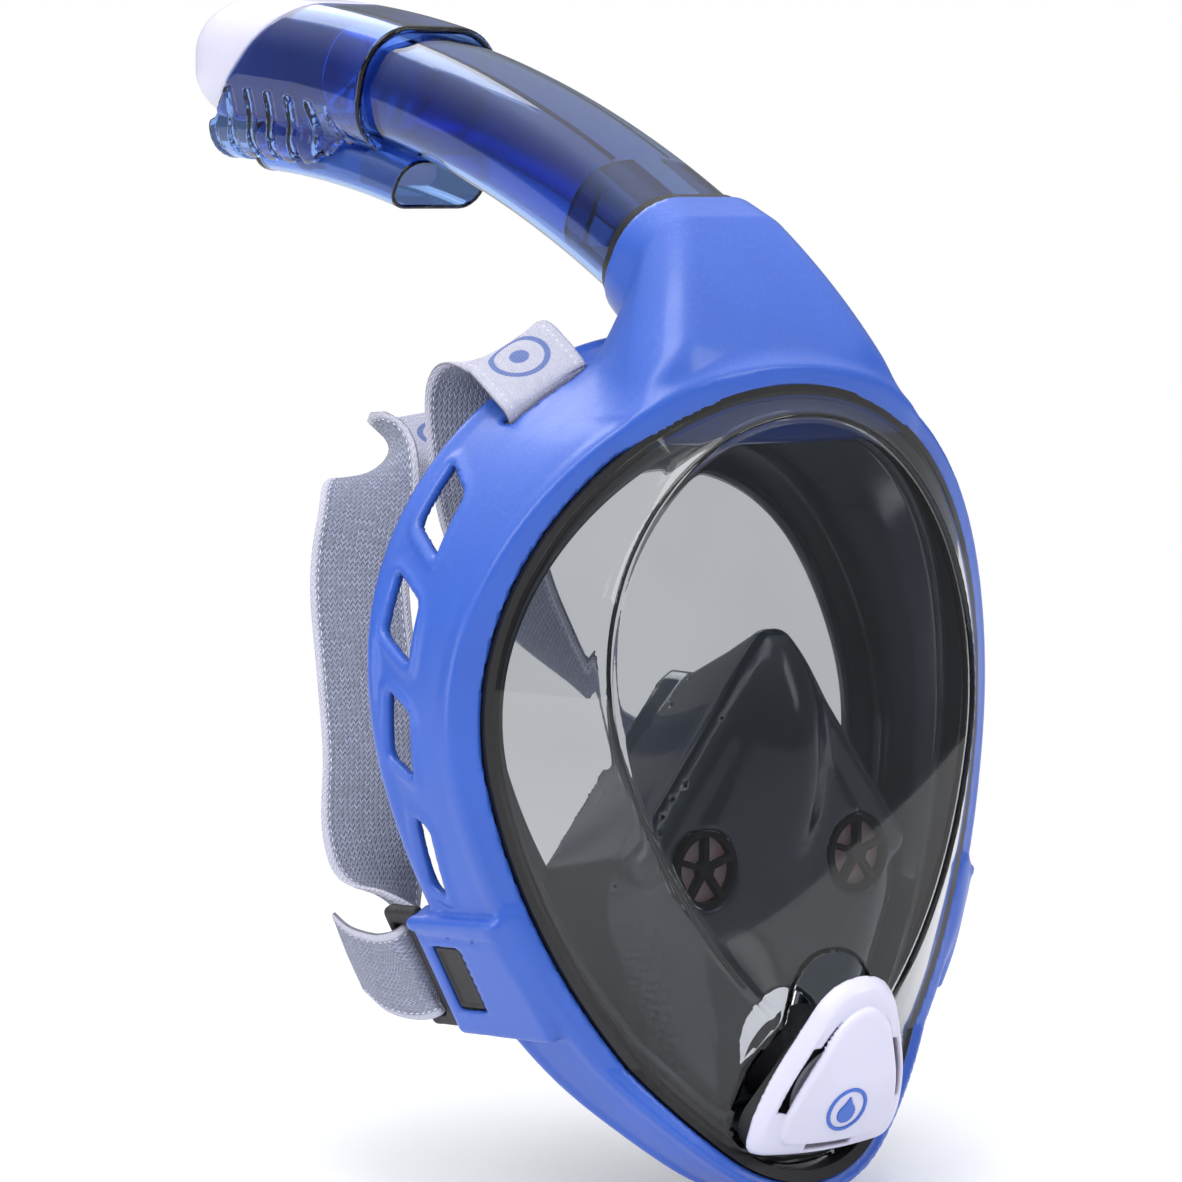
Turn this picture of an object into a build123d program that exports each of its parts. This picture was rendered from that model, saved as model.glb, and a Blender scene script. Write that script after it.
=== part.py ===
from build123d import *
import os
from math import asin, atan2, cos, degrees, hypot, radians, sin, sqrt

# Full-face snorkel mask with a pull-off dry-top snorkel and a crossed head harness.
# +X is the wearer's left, +Y points from the lens to the back of the head, +Z is up.
# The origin is the centre of the face opening. All sizes are in millimetres.

os.makedirs("parts", exist_ok=True)

# ---- driving dimensions -------------------------------------------------------------
# Lens rim: an egg of four tangent arcs, seen from the front.
RIM_TOP_R = 88.0
RIM_CHIN_R = 41.0
RIM_SIDE_R = 174.0
RIM_DROP = 87.0  # brow circle centre down to chin circle centre
BROW_Z = 20.0  # height of the brow circle's centre
RIM_Y = -66.0  # depth of the rim at the centreline
WRAP_R = 190.0  # plan radius of the rim as it wraps back round the face
CHIN_Z = -74.0  # below this the rim leans forwards
CHIN_LEAN = 0.30

FRAME_FRONT_Y = -80.0
FRAME_FRONT_GROW = 4.0
FRAME_REAR_GROW = 12.5
FRAME_WALL = 2.6
LIP_DEPTH = 2.5

GASKET_W = 3.0
LENS_WALL = 2.6
LENS_NOSE_Y = -78.0  # front of the lens pane at the brow circle's height
LENS_LEAN = 0.09
PANE_HALF_W = 63.0
PANE_SAG = 8.0

SKIRT_GROW = -9.0
SKIRT_WALL = 2.2
SEAL_WIDTH = 17.0
CLEAR = 0.3  # between bodies that move past each other
SEAT_GAP = 0.2  # between pieces clamped together

PURGE_CENTRE = (0, -84.0, -77.5)
PURGE_TILT = 21.6
PURGE_W = 50.0
PURGE_H = 54.0
PURGE_BORE_R = 12.5
PURGE_BORE_DROP = -4.0  # the valve sits below the outline's centre

SNORKEL_R = 440.0  # radius of the snorkel's centreline
SNORKEL_START = (0, -18.5, 142.0)  # middle of the socket's mouth
SNORKEL_TILT = 30.0  # tube's angle above horizontal at the socket
TUBE_W = 46.0
TUBE_H = 34.0
TUBE_CORNER = 15.5
TUBE_WALL = 2.2
TUBE_END = 150.0
SLEEVE_START = 128.0
SLEEVE_END = 213.0  # on the underside; the cap's joint slants back to CAP_START on top
CAP_START = 173.0
CAP_END = 226.0
SPIGOT = 11.0
BORE_W = TUBE_W + 0.2
BORE_H = TUBE_H + 0.2
MANIFOLD_W = 40.0
MANIFOLD_H = 27.0
MANIFOLD_FLOOR = -17.5
CHAMBER_START = 112.0
CHAMBER_END = 196.0
CHAMBER_W = 33.0
CHAMBER_H = 16.0

STRAP_W = 28.0
STRAP_T = 2.0

# ---- shared geometry ----------------------------------------------------------------
SIDE_Z = ((RIM_SIDE_R - RIM_CHIN_R) ** 2 - (RIM_SIDE_R - RIM_TOP_R) ** 2 - RIM_DROP**2) / (2 * RIM_DROP)
SIDE_X = sqrt((RIM_SIDE_R - RIM_TOP_R) ** 2 - SIDE_Z**2)


def front_plane(depth):
    """A plane that faces forwards at a depth: its x is X and its y is Z."""
    return Plane.XZ.offset(-depth)


def egg(depth, grow=0.0):
    """The rim's egg outline, grown outwards, as a face at a depth."""
    top_angle = atan2(-SIDE_Z, SIDE_X)
    chin_angle = atan2(-RIM_DROP - SIDE_Z, SIDE_X)
    side = RIM_SIDE_R + grow

    def on_side(angle, sign):
        return (sign * (side * cos(angle) - SIDE_X), BROW_Z + SIDE_Z + side * sin(angle))

    middle = (top_angle + chin_angle) / 2
    top = (0, BROW_Z + RIM_TOP_R + grow)
    chin = (0, BROW_Z - RIM_DROP - RIM_CHIN_R - grow)
    with BuildSketch(front_plane(depth)) as outline:
        with BuildLine():
            ThreePointArc(on_side(top_angle, -1), top, on_side(top_angle, 1))
            ThreePointArc(on_side(top_angle, 1), on_side(middle, 1), on_side(chin_angle, 1))
            ThreePointArc(on_side(chin_angle, 1), chin, on_side(chin_angle, -1))
            ThreePointArc(on_side(chin_angle, -1), on_side(middle, -1), on_side(top_angle, -1))
        make_face()
    return outline.sketch


def wrap_depth(x):
    """Depth of the rim at a distance from the centreline."""
    return RIM_Y + WRAP_R - sqrt(WRAP_R**2 - x**2)


def behind_rim(setback=0.0):
    """Everything behind the rim's wrapped surface, moved back by a setback."""
    reach = 130.0
    edge = wrap_depth(reach) + setback
    with BuildPart() as region:
        with BuildSketch(Plane.XY.offset(CHIN_Z)) as plan:
            with BuildLine():
                ThreePointArc((-reach, edge), (0, RIM_Y + setback), (reach, edge))
                Polyline((reach, edge), (reach, 90), (-reach, 90), (-reach, edge))
            make_face()
        extrude(plan.sketch, amount=260, dir=(0, 0, 1))
        extrude(plan.sketch, amount=80, dir=Vector(0, -CHIN_LEAN, -1).normalized())
    return region.part


REAR_EDGE = [(-4, 110), (-4, 60), (-9.5, 20), (-19.5, -32), (-33, -75), (-46, -97), (-62, -122)]


def before_rear(inset=0.0):
    """Everything in front of the frame's rear edge, moved forwards by an inset."""
    points = [(y - inset, z) for y, z in REAR_EDGE]
    first, last = points[0], points[-1]
    with BuildPart() as region:
        with BuildSketch(Plane.YZ.offset(-130)):
            with BuildLine():
                Spline(*points)
                Polyline(last, (last[0], -150), (-160, -150), (-160, 160), (first[0], 160), first)
            make_face()
        extrude(amount=260)
    return region.part


def egg_ring(outer, inner, front, back):
    """A ring between two grown eggs, lying between two setbacks behind the rim."""
    with BuildPart() as ring:
        extrude(egg(-110, outer), amount=-110)
        extrude(egg(-111, inner), amount=-112, mode=Mode.SUBTRACT)
        add(behind_rim(front), mode=Mode.INTERSECT)
        add(behind_rim(back), mode=Mode.SUBTRACT)
    return ring.part


def tube_plane(distance):
    """Section plane of the snorkel at a distance along it: x is X, y points to its underside."""
    start_angle = radians(SNORKEL_TILT)
    angle = start_angle - distance / SNORKEL_R
    centre_y = SNORKEL_START[1] + SNORKEL_R * sin(start_angle)
    centre_z = SNORKEL_START[2] - SNORKEL_R * cos(start_angle)
    origin = (0, centre_y - SNORKEL_R * sin(angle), centre_z + SNORKEL_R * cos(angle))
    return Plane(origin=origin, x_dir=(1, 0, 0), z_dir=(0, cos(angle), sin(angle)))


def tube_axis():
    """The line that the snorkel's centreline turns about."""
    start_angle = radians(SNORKEL_TILT)
    centre_y = SNORKEL_START[1] + SNORKEL_R * sin(start_angle)
    centre_z = SNORKEL_START[2] - SNORKEL_R * cos(start_angle)
    return Axis((0, centre_y, centre_z), (-1, 0, 0))


def oval_run(start, end, width, height, corner, drop=0.0):
    """A bent bar of rounded-rectangle section, from one distance along the snorkel to another."""
    with BuildPart() as bar:
        with BuildSketch(tube_plane(start)) as section:
            with Locations((0, drop)):
                RectangleRounded(width, height, corner)
        turn = degrees((end - start) / SNORKEL_R)
        revolve(section.sketch, axis=tube_axis(), revolution_arc=turn)
    return bar.part


def straight_run(start, end, width, height, corner):
    """A straight bar along the socket's axis, from one depth to another."""
    with BuildPart() as bar:
        with BuildSketch(tube_plane(0).offset(start)) as section:
            RectangleRounded(width, height, corner)
        extrude(section.sketch, amount=end - start)
    return bar.part


# ---- frame --------------------------------------------------------------------------
WINDOWS = [
    (-17.4, 74.7, 11.5, 16.0),
    (-17.3, 46.5, 11.0, 16.0),
    (-20.7, 15.9, 8.0, 17.0),
    (-25.2, -17.0, 4.5, 18.0),
]
WINDOW_SLANT = 0.65  # drop of a window's top and bottom edges, going forwards

SLOT_CENTRE = (-47.6, -19.4, 104.6)
SLOT_ALONG = (0.875, -0.085, 0.478)

LUG_CENTRE = (-76.8, -32.0, -49.2)
LUG_NORMAL = (-0.880, -0.106, -0.463)
LUG_BACKWARDS = (-0.0938, 0.9944, -0.0494)  # along the lug, with the side wall's taper
LUG_LENGTH = 38.0
LUG_WIDTH = 38.0
LUG_PROUD = 4.0
LUG_SUNK = 4.6
POCKET_W = 32.0
POCKET_DEPTH = 27.0
LATCH_L = 10.5
LATCH_W = 20.0
LATCH_AT = 8.5  # along the lug, from its centre


def lug_plane(sign):
    """Plane on a side lug: x runs backwards, y across the strap, z outwards."""
    centre = (-sign * LUG_CENTRE[0], LUG_CENTRE[1], LUG_CENTRE[2])
    normal = (-sign * LUG_NORMAL[0], LUG_NORMAL[1], LUG_NORMAL[2])
    backwards = (-sign * LUG_BACKWARDS[0], LUG_BACKWARDS[1], LUG_BACKWARDS[2])
    return Plane(origin=centre, x_dir=backwards, z_dir=normal)


def slot_plane(sign):
    """Plane of an upper strap slot: x runs along the slot, y across the wall's depth."""
    centre = (-sign * SLOT_CENTRE[0], SLOT_CENTRE[1], SLOT_CENTRE[2])
    along = (-sign * SLOT_ALONG[0], SLOT_ALONG[1], SLOT_ALONG[2])
    outward = Vector(centre[0], 0, centre[2] - BROW_Z).normalized()
    return Plane(origin=centre, x_dir=along, z_dir=outward)


with BuildPart() as frame:
    loft([egg(FRAME_FRONT_Y, FRAME_FRONT_GROW), egg(0, FRAME_REAR_GROW)], ruled=True)
    inner_front = FRAME_FRONT_GROW - FRAME_WALL
    inner_rear = FRAME_REAR_GROW - FRAME_WALL
    hollow = [egg(FRAME_FRONT_Y, inner_front), egg(0, inner_rear)]
    loft(hollow, ruled=True, mode=Mode.SUBTRACT)
    add(behind_rim(), mode=Mode.INTERSECT)
    add(before_rear(), mode=Mode.INTERSECT)
    add(egg_ring(FRAME_FRONT_GROW + 1.0, SEAT_GAP, 0, LIP_DEPTH))
    # snorkel socket on the brow, with a stepped bore and an airway down into the mask
    with BuildSketch(Plane(origin=(0, -38, 101), x_dir=(1, 0, 0), z_dir=(0, 0.15, 0.98))) as brow:
        RectangleRounded(98, 58, 22)
    with BuildSketch(Plane(origin=(0, -27, 134.5), x_dir=(1, 0, 0), z_dir=(0, 0.69, 0.73))) as waist:
        RectangleRounded(60, 45, 18)
    with BuildSketch(tube_plane(0)) as mouth:
        RectangleRounded(TUBE_W + 7, TUBE_H + 7, TUBE_CORNER + 3)
    loft([brow.sketch, waist.sketch, mouth.sketch])
    loft(hollow, ruled=True, mode=Mode.SUBTRACT)
    add(behind_rim(), mode=Mode.INTERSECT)
    add(straight_run(-SPIGOT - 1.2, 4, BORE_W, BORE_H, TUBE_CORNER), mode=Mode.SUBTRACT)
    add(straight_run(MANIFOLD_FLOOR, 0, MANIFOLD_W, MANIFOLD_H, 9), mode=Mode.SUBTRACT)
    with BuildSketch(Plane.XY.offset(90)) as airway:
        with Locations((0, -32)):
            RectangleRounded(34, 16, 5)
    extrude(airway.sketch, amount=42, mode=Mode.SUBTRACT)
    # side lugs with a pocket for the clip and a window for its latch
    for sign in (-1, 1):
        lug = lug_plane(sign)
        with BuildSketch(lug.offset(-LUG_SUNK)) as block:
            RectangleRounded(LUG_LENGTH, LUG_WIDTH, 3)
        extrude(block.sketch, amount=LUG_SUNK + LUG_PROUD)
        rear_end = LUG_LENGTH / 2
        with BuildSketch(lug.offset(-3)) as pocket:
            with Locations((rear_end - POCKET_DEPTH / 2 + 2, 0)):
                Rectangle(POCKET_DEPTH + 4, POCKET_W)
        extrude(pocket.sketch, amount=5, mode=Mode.SUBTRACT)
        with BuildSketch(lug) as window:
            with Locations((LATCH_AT, 0)):
                Rectangle(LATCH_L + 2 * 0.4, LATCH_W + 2 * 0.4)
        extrude(window.sketch, amount=LUG_PROUD + 2, mode=Mode.SUBTRACT)
    # four slanted windows in each side wall
    with BuildSketch(Plane.YZ.offset(-120)) as side_windows:
        for y, z, width, height in WINDOWS:
            drop = WINDOW_SLANT * width / 2
            half = height / 2
            with BuildLine():
                corners = [
                    (y - width / 2, z - drop - half),
                    (y + width / 2, z + drop - half),
                    (y + width / 2, z + drop + half),
                    (y - width / 2, z - drop + half),
                ]
                Polyline(*corners, close=True)
            make_face()
    extrude(side_windows.sketch, amount=240, mode=Mode.SUBTRACT)
    # upper strap slots
    for sign in (-1, 1):
        with BuildSketch(slot_plane(sign).offset(-6)) as strap_slot:
            RectangleRounded(STRAP_W + 2, 5.0, 2)
        extrude(strap_slot.sketch, amount=12, mode=Mode.SUBTRACT)
frame.part.label = "frame"
export_step(frame.part, "parts/frame.step")

# ---- rear retaining ring ------------------------------------------------------------
LENS_BACK = 4.5  # setback of the lens and gasket's rear faces behind the rim
BEAD_BACK = 9.0

with BuildPart() as rear_retaining_ring:
    add(egg_ring(2.4, SKIRT_GROW + SEAT_GAP, BEAD_BACK + SEAT_GAP, BEAD_BACK + 3.2))
rear_retaining_ring.part.label = "rear_retaining_ring"
export_step(rear_retaining_ring.part, "parts/rear_retaining_ring.step")

# ---- lens and gasket ----------------------------------------------------------------
with BuildPart() as visor_gasket:
    add(egg_ring(0.0, -GASKET_W, -1.0, LENS_BACK))
visor_gasket.part.label = "visor_gasket"
export_step(visor_gasket.part, "parts/visor_gasket.step")


def purge_plane(proud=0.0):
    """Plane of the purge valve, facing forwards and down: x is X, y points up the face."""
    tilt = radians(PURGE_TILT)
    face = Plane(origin=PURGE_CENTRE, x_dir=(1, 0, 0), z_dir=(0, -cos(tilt), -sin(tilt)))
    return face.offset(proud)


def purge_direction(sign):
    """The direction the purge valve faces, or its opposite."""
    return purge_plane().z_dir * sign


def purge_outline(proud, grow=0.0):
    """The purge valve's rounded triangle, apex up, as a face on its plane."""
    scale = 1 + 2 * grow / PURGE_W
    half_w = PURGE_W * 0.62 * scale
    top = PURGE_H * 0.66 * scale
    low = -PURGE_H * 0.40 * scale
    sag = -PURGE_H * 0.47 * scale
    with BuildSketch(purge_plane(proud)) as outline:
        with BuildLine() as sides:
            Polyline((0, top), (half_w, low), (0, sag), (-half_w, low), close=True)
            fillet(sides.vertices(), 10 * scale)
        make_face()
    return outline.sketch


def lens_body(inset):
    """The lens as a filled body, its outer surfaces moved inwards by an inset."""
    reach = 100.0
    nose = LENS_NOSE_Y + inset
    crease = nose + PANE_SAG
    side = crease + (reach - PANE_HALF_W)
    with BuildPart() as body:
        extrude(egg(-130, -GASKET_W - SEAT_GAP - inset), amount=-130)
        with BuildSketch(Plane.XY.offset(BROW_Z)) as plan:
            with BuildLine():
                ThreePointArc((-PANE_HALF_W, crease), (0, nose), (PANE_HALF_W, crease))
                corners = [(PANE_HALF_W, crease), (reach, side), (reach, 60)]
                mirrored = [(-x, y) for x, y in reversed(corners)]
                Polyline(corners + mirrored)
            make_face()
        lean = Vector(0, LENS_LEAN, 1).normalized()
        extrude(plan.sketch, amount=170, dir=lean, both=True, mode=Mode.INTERSECT)
        with BuildSketch(purge_plane(-3.0 - inset)) as chin:
            Rectangle(300, 300)
        extrude(chin.sketch, amount=60, mode=Mode.SUBTRACT)
    return body.part


with BuildPart() as visor:
    add(lens_body(0))
    add(lens_body(LENS_WALL), mode=Mode.SUBTRACT)
    add(behind_rim(LENS_BACK), mode=Mode.SUBTRACT)
    extrude(purge_outline(-30, 0.2), amount=40, dir=purge_direction(1), mode=Mode.SUBTRACT)
visor.part.label = "visor"
export_step(visor.part, "parts/visor.step")

# ---- face skirt ---------------------------------------------------------------------
SKIRT_REAR_INSET = 3.0

with BuildPart() as face_skirt:
    extrude(egg(-90, SKIRT_GROW), amount=-100)
    extrude(egg(-91, SKIRT_GROW - SKIRT_WALL), amount=-102, mode=Mode.SUBTRACT)
    add(egg_ring(2.0, SKIRT_GROW - 0.5, LENS_BACK + SEAT_GAP, BEAD_BACK))
    add(behind_rim(LENS_BACK + SEAT_GAP), mode=Mode.INTERSECT)
    with BuildPart(mode=Mode.PRIVATE) as seal:
        extrude(egg(-90, SKIRT_GROW - 1), amount=-100)
        extrude(egg(-91, SKIRT_GROW - SEAL_WIDTH), amount=-102, mode=Mode.SUBTRACT)
        add(before_rear(SKIRT_REAR_INSET + 2.4), mode=Mode.SUBTRACT)
    add(seal.part)
    add(before_rear(SKIRT_REAR_INSET), mode=Mode.INTERSECT)
face_skirt.part.label = "face_skirt"
export_step(face_skirt.part, "parts/face_skirt.step")

# ---- nose pocket --------------------------------------------------------------------
INLET_X = 27.0
INLET_Z = -22.0
INLET_R = 10.5
POCKET_FRONT_Y = -62.0
POCKET_WALL = 2.0
# depth, apex height, shoulder half-width and height, chin half-width and height
POCKET_SECTIONS = [
    (-24.0, 50.0, 62.0, -20.0, 26.0, -78.0),
    (-50.0, 45.0, 58.0, -24.0, 27.0, -92.0),
    (POCKET_FRONT_Y, 33.0, 42.0, -26.0, 22.0, -88.0),
]


def pocket_face(depth, apex, shoulder_x, shoulder_z, chin_x, chin_z, inset=0.0):
    """One section of the nose pocket: a rounded triangle, apex up."""
    with BuildSketch(front_plane(depth)) as outline:
        with BuildLine():
            right = [(6, apex - inset), (shoulder_x - inset, shoulder_z), (chin_x - inset, chin_z + inset)]
            left = [(-x, z) for x, z in reversed(right)]
            Polyline(*right, *left, close=True)
        make_face()
    return outline.sketch


with BuildPart() as nose_pocket:
    loft([pocket_face(*section) for section in POCKET_SECTIONS], ruled=True)
    inner = [pocket_face(*section, inset=POCKET_WALL) for section in POCKET_SECTIONS]
    loft(inner, ruled=True, mode=Mode.SUBTRACT)
    front = pocket_face(*POCKET_SECTIONS[-1], inset=1.0)
    extrude(front, amount=-POCKET_WALL)
    with BuildSketch(front_plane(POCKET_FRONT_Y - 5)) as inlet_holes:
        with Locations((-INLET_X, INLET_Z), (INLET_X, INLET_Z)):
            Circle(INLET_R + SEAT_GAP)
    extrude(inlet_holes.sketch, amount=-12, mode=Mode.SUBTRACT)
    with BuildSketch(purge_plane(-60)) as purge_duct:
        with Locations((0, PURGE_BORE_DROP)):
            Circle(PURGE_BORE_R + 2.2)
    extrude(purge_duct.sketch, amount=60, mode=Mode.SUBTRACT)
    add(before_rear(SKIRT_REAR_INSET + 2.8), mode=Mode.INTERSECT)
    extrude(egg(-100, SKIRT_GROW - SKIRT_WALL - 0.3), amount=-110, mode=Mode.INTERSECT)
nose_pocket.part.label = "nose_pocket"
export_step(nose_pocket.part, "parts/nose_pocket.step")

# ---- inlet valves -------------------------------------------------------------------
SPOKES = 5
SEAT_T = 2.6
FLAP_T = 0.8

for side, sign in (("right", -1), ("left", 1)):
    with BuildPart() as seat:
        with BuildSketch(front_plane(POCKET_FRONT_Y - 0.6)):
            with Locations((sign * INLET_X, INLET_Z)):
                Circle(INLET_R)
                Circle(INLET_R - 1.6, mode=Mode.SUBTRACT)
                Circle(2.6)
                with PolarLocations(INLET_R / 2, SPOKES, start_angle=90):
                    Rectangle(INLET_R - 1.2, 1.6)
        extrude(amount=-SEAT_T)
    seat.part.label = f"inlet_valve_seat_{side}"
    export_step(seat.part, f"parts/inlet_valve_seat_{side}.step")
    with BuildPart() as flap:
        with BuildSketch(front_plane(POCKET_FRONT_Y - 0.6 + SEAT_T + CLEAR)):
            with Locations((sign * INLET_X, INLET_Z)):
                Circle(INLET_R - 0.8)
        extrude(amount=-FLAP_T)
    flap.part.label = f"inlet_valve_flap_{side}"
    export_step(flap.part, f"parts/inlet_valve_flap_{side}.step")

# ---- purge valve --------------------------------------------------------------------
PURGE_SEAT_DEPTH = 4.4
PURGE_SPIGOT = 20.0

with BuildPart() as purge_seat:
    extrude(purge_outline(0), amount=PURGE_SEAT_DEPTH, dir=purge_direction(-1))
    with BuildSketch(purge_plane(-PURGE_SPIGOT)) as spigot:
        with Locations((0, PURGE_BORE_DROP)):
            Circle(PURGE_BORE_R + 2)
    extrude(spigot.sketch, amount=PURGE_SPIGOT - 1)
    with BuildSketch(purge_plane(2)) as bore:
        with Locations((0, PURGE_BORE_DROP)):
            Circle(PURGE_BORE_R)
    extrude(bore.sketch, amount=-60, mode=Mode.SUBTRACT)
    with BuildSketch(purge_plane(0)) as spider:
        with Locations((0, PURGE_BORE_DROP)):
            with PolarLocations(PURGE_BORE_R / 2, 3, start_angle=90):
                Rectangle(PURGE_BORE_R + 1, 1.8)
            Circle(3)
    extrude(spider.sketch, amount=-2.4)
purge_seat.part.label = "purge_seat"
export_step(purge_seat.part, "parts/purge_seat.step")

with BuildPart() as purge_flap:
    with BuildSketch(purge_plane(CLEAR)) as disc:
        with Locations((0, PURGE_BORE_DROP)):
            Circle(PURGE_BORE_R + 1.2)
    extrude(disc.sketch, amount=1.0)
purge_flap.part.label = "purge_flap"
export_step(purge_flap.part, "parts/purge_flap.step")

with BuildPart() as purge_cover:
    loft([purge_outline(0), purge_outline(5.5, -2.0), purge_outline(9.0, -7.5)], ruled=True)
    cavity = [purge_outline(0, -1.8), purge_outline(4.0, -3.4), purge_outline(7.0, -9.0)]
    loft(cavity, ruled=True, mode=Mode.SUBTRACT)
    with BuildSketch(purge_plane(2)) as vents:
        with Locations((0, -PURGE_H / 2 + 6)):
            SlotOverall(15, 2.6)
        for sign in (-1, 1):
            with Locations(Location((sign * 13.2, 2.5), sign * 64)):
                SlotOverall(19, 2.6)
    extrude(vents.sketch, amount=12, mode=Mode.SUBTRACT)
purge_cover.part.label = "purge_cover"
export_step(purge_cover.part, "parts/purge_cover.step")

# ---- socket manifold and exhale flaps -----------------------------------------------
EXHALE_X = 13.0
EXHALE_R = 3.8
MANIFOLD_T = 1.6

with BuildPart() as socket_manifold:
    with BuildSketch(tube_plane(0).offset(MANIFOLD_FLOOR + 0.1)):
        RectangleRounded(MANIFOLD_W - 0.2, MANIFOLD_H - 0.2, 9)
        with Locations((-EXHALE_X, 0), (EXHALE_X, 0)):
            Circle(EXHALE_R, mode=Mode.SUBTRACT)
        RectangleRounded(12, 16, 4, mode=Mode.SUBTRACT)
    extrude(amount=MANIFOLD_T)
socket_manifold.part.label = "socket_manifold"
export_step(socket_manifold.part, "parts/socket_manifold.step")

for side, sign in (("right", -1), ("left", 1)):
    with BuildPart() as exhale_flap:
        with BuildSketch(tube_plane(0).offset(MANIFOLD_FLOOR + 0.1 + MANIFOLD_T + CLEAR)):
            with Locations((sign * EXHALE_X, 0)):
                Circle(EXHALE_R + 1.0)
        extrude(amount=0.7)
    exhale_flap.part.label = f"exhale_flap_{side}"
    export_step(exhale_flap.part, f"parts/exhale_flap_{side}.step")

# ---- snorkel ------------------------------------------------------------------------
BAND = 3.0  # width of the black ring that seals tube to socket
SPIGOT_W = BORE_W - 1.6
SPIGOT_H = BORE_H - 1.6
ORING_DEPTHS = (3.5, 7.5)
CORE_W = TUBE_W - 2 * TUBE_WALL - 0.4
CORE_H = TUBE_H - 2 * TUBE_WALL - 0.4


def hollow_run(start, end, width, height, corner, wall, drop=0.0):
    """A bent tube of rounded-rectangle section."""
    with BuildPart() as shell:
        add(oval_run(start, end, width, height, corner, drop))
        bore = oval_run(start - 2, end + 2, width - 2 * wall, height - 2 * wall, corner - wall, drop)
        add(bore, mode=Mode.SUBTRACT)
    return shell.part


with BuildPart() as tube_connector:
    add(hollow_run(-0.5, 26, CORE_W, CORE_H, TUBE_CORNER - TUBE_WALL - 0.2, 2.0))
    with BuildSketch(tube_plane(0).offset(-SPIGOT)) as lower:
        RectangleRounded(SPIGOT_W, SPIGOT_H, TUBE_CORNER - 0.9)
        RectangleRounded(CORE_W - 6, CORE_H - 6, TUBE_CORNER - 6, mode=Mode.SUBTRACT)
    extrude(lower.sketch, amount=SPIGOT)
    for depth in ORING_DEPTHS:
        with BuildSketch(tube_plane(0).offset(-depth - 1.2)) as groove:
            RectangleRounded(SPIGOT_W + 1, SPIGOT_H + 1, TUBE_CORNER - 0.9)
            RectangleRounded(SPIGOT_W - 1.6, SPIGOT_H - 1.6, TUBE_CORNER - 1.7, mode=Mode.SUBTRACT)
        extrude(groove.sketch, amount=2.4, mode=Mode.SUBTRACT)
tube_connector.part.label = "tube_connector"
export_step(tube_connector.part, "parts/tube_connector.step")

with BuildPart() as connector_orings:
    for depth in ORING_DEPTHS:
        with BuildSketch(tube_plane(0).offset(-depth - 1.0)) as oring:
            RectangleRounded(SPIGOT_W + 0.8, SPIGOT_H + 0.8, TUBE_CORNER - 0.5)
            RectangleRounded(SPIGOT_W - 1.5, SPIGOT_H - 1.5, TUBE_CORNER - 1.65, mode=Mode.SUBTRACT)
        extrude(oring.sketch, amount=2.0)
connector_orings.part.label = "connector_orings"
export_step(connector_orings.part, "parts/connector_orings.step")

with BuildPart() as connector_seal:
    add(oval_run(CLEAR, BAND, TUBE_W + 1.6, TUBE_H + 1.6, TUBE_CORNER))
    inside = oval_run(-2, BAND + 2, CORE_W + 0.2, CORE_H + 0.2, TUBE_CORNER - TUBE_WALL - 0.1)
    add(inside, mode=Mode.SUBTRACT)
connector_seal.part.label = "connector_seal"
export_step(connector_seal.part, "parts/connector_seal.step")

with BuildPart() as snorkel_tube:
    add(hollow_run(BAND + 0.1, TUBE_END, TUBE_W, TUBE_H, TUBE_CORNER, TUBE_WALL))
snorkel_tube.part.label = "snorkel_tube"
export_step(snorkel_tube.part, "parts/snorkel_tube.step")

with BuildPart() as tube_channel_walls:
    for x in (-9.5, 9.5):
        with BuildSketch(tube_plane(28)) as wall:
            with Locations((x, 0)):
                Rectangle(1.6, TUBE_H - 2 * TUBE_WALL - 0.8)
        revolve(wall.sketch, axis=tube_axis(), revolution_arc=degrees((TUBE_END - 32) / SNORKEL_R))
tube_channel_walls.part.label = "tube_channel_walls"
export_step(tube_channel_walls.part, "parts/tube_channel_walls.step")

# ---- dry top ------------------------------------------------------------------------
SLEEVE_W = TUBE_W + 5
SLEEVE_H = TUBE_H + 5
CHAMBER_DROP = TUBE_H / 2 + CHAMBER_H / 2 + 0.3
CHAMBER_WALL = 1.7
VENT_COUNT = 6


def cap_joint(gap):
    """The slanted plane between sleeve and cap, facing the cap, moved towards it by a gap."""
    low = tube_plane(SLEEVE_END).from_local_coords(Vector(0, SLEEVE_H / 2, 0))
    high = tube_plane(CAP_START).from_local_coords(Vector(0, -SLEEVE_H / 2, 0))
    facing = Vector(1, 0, 0).cross(low - high)
    if facing.dot(tube_plane(SLEEVE_END).z_dir) < 0:
        facing = -facing
    return Plane(origin=low, x_dir=(1, 0, 0), z_dir=facing).offset(gap)


with BuildPart() as dry_top_sleeve:
    add(hollow_run(SLEEVE_START, SLEEVE_END + 2, SLEEVE_W, SLEEVE_H, TUBE_CORNER + 2, 2.2))
    split(bisect_by=cap_joint(0), keep=Keep.BOTTOM)
    room = oval_run(SLEEVE_START - 1, CHAMBER_END + 1, CHAMBER_W + 0.6, CHAMBER_H + 8, 6, CHAMBER_DROP + 3.2)
    add(room, mode=Mode.SUBTRACT)
dry_top_sleeve.part.label = "dry_top_sleeve"
export_step(dry_top_sleeve.part, "parts/dry_top_sleeve.step")

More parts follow.
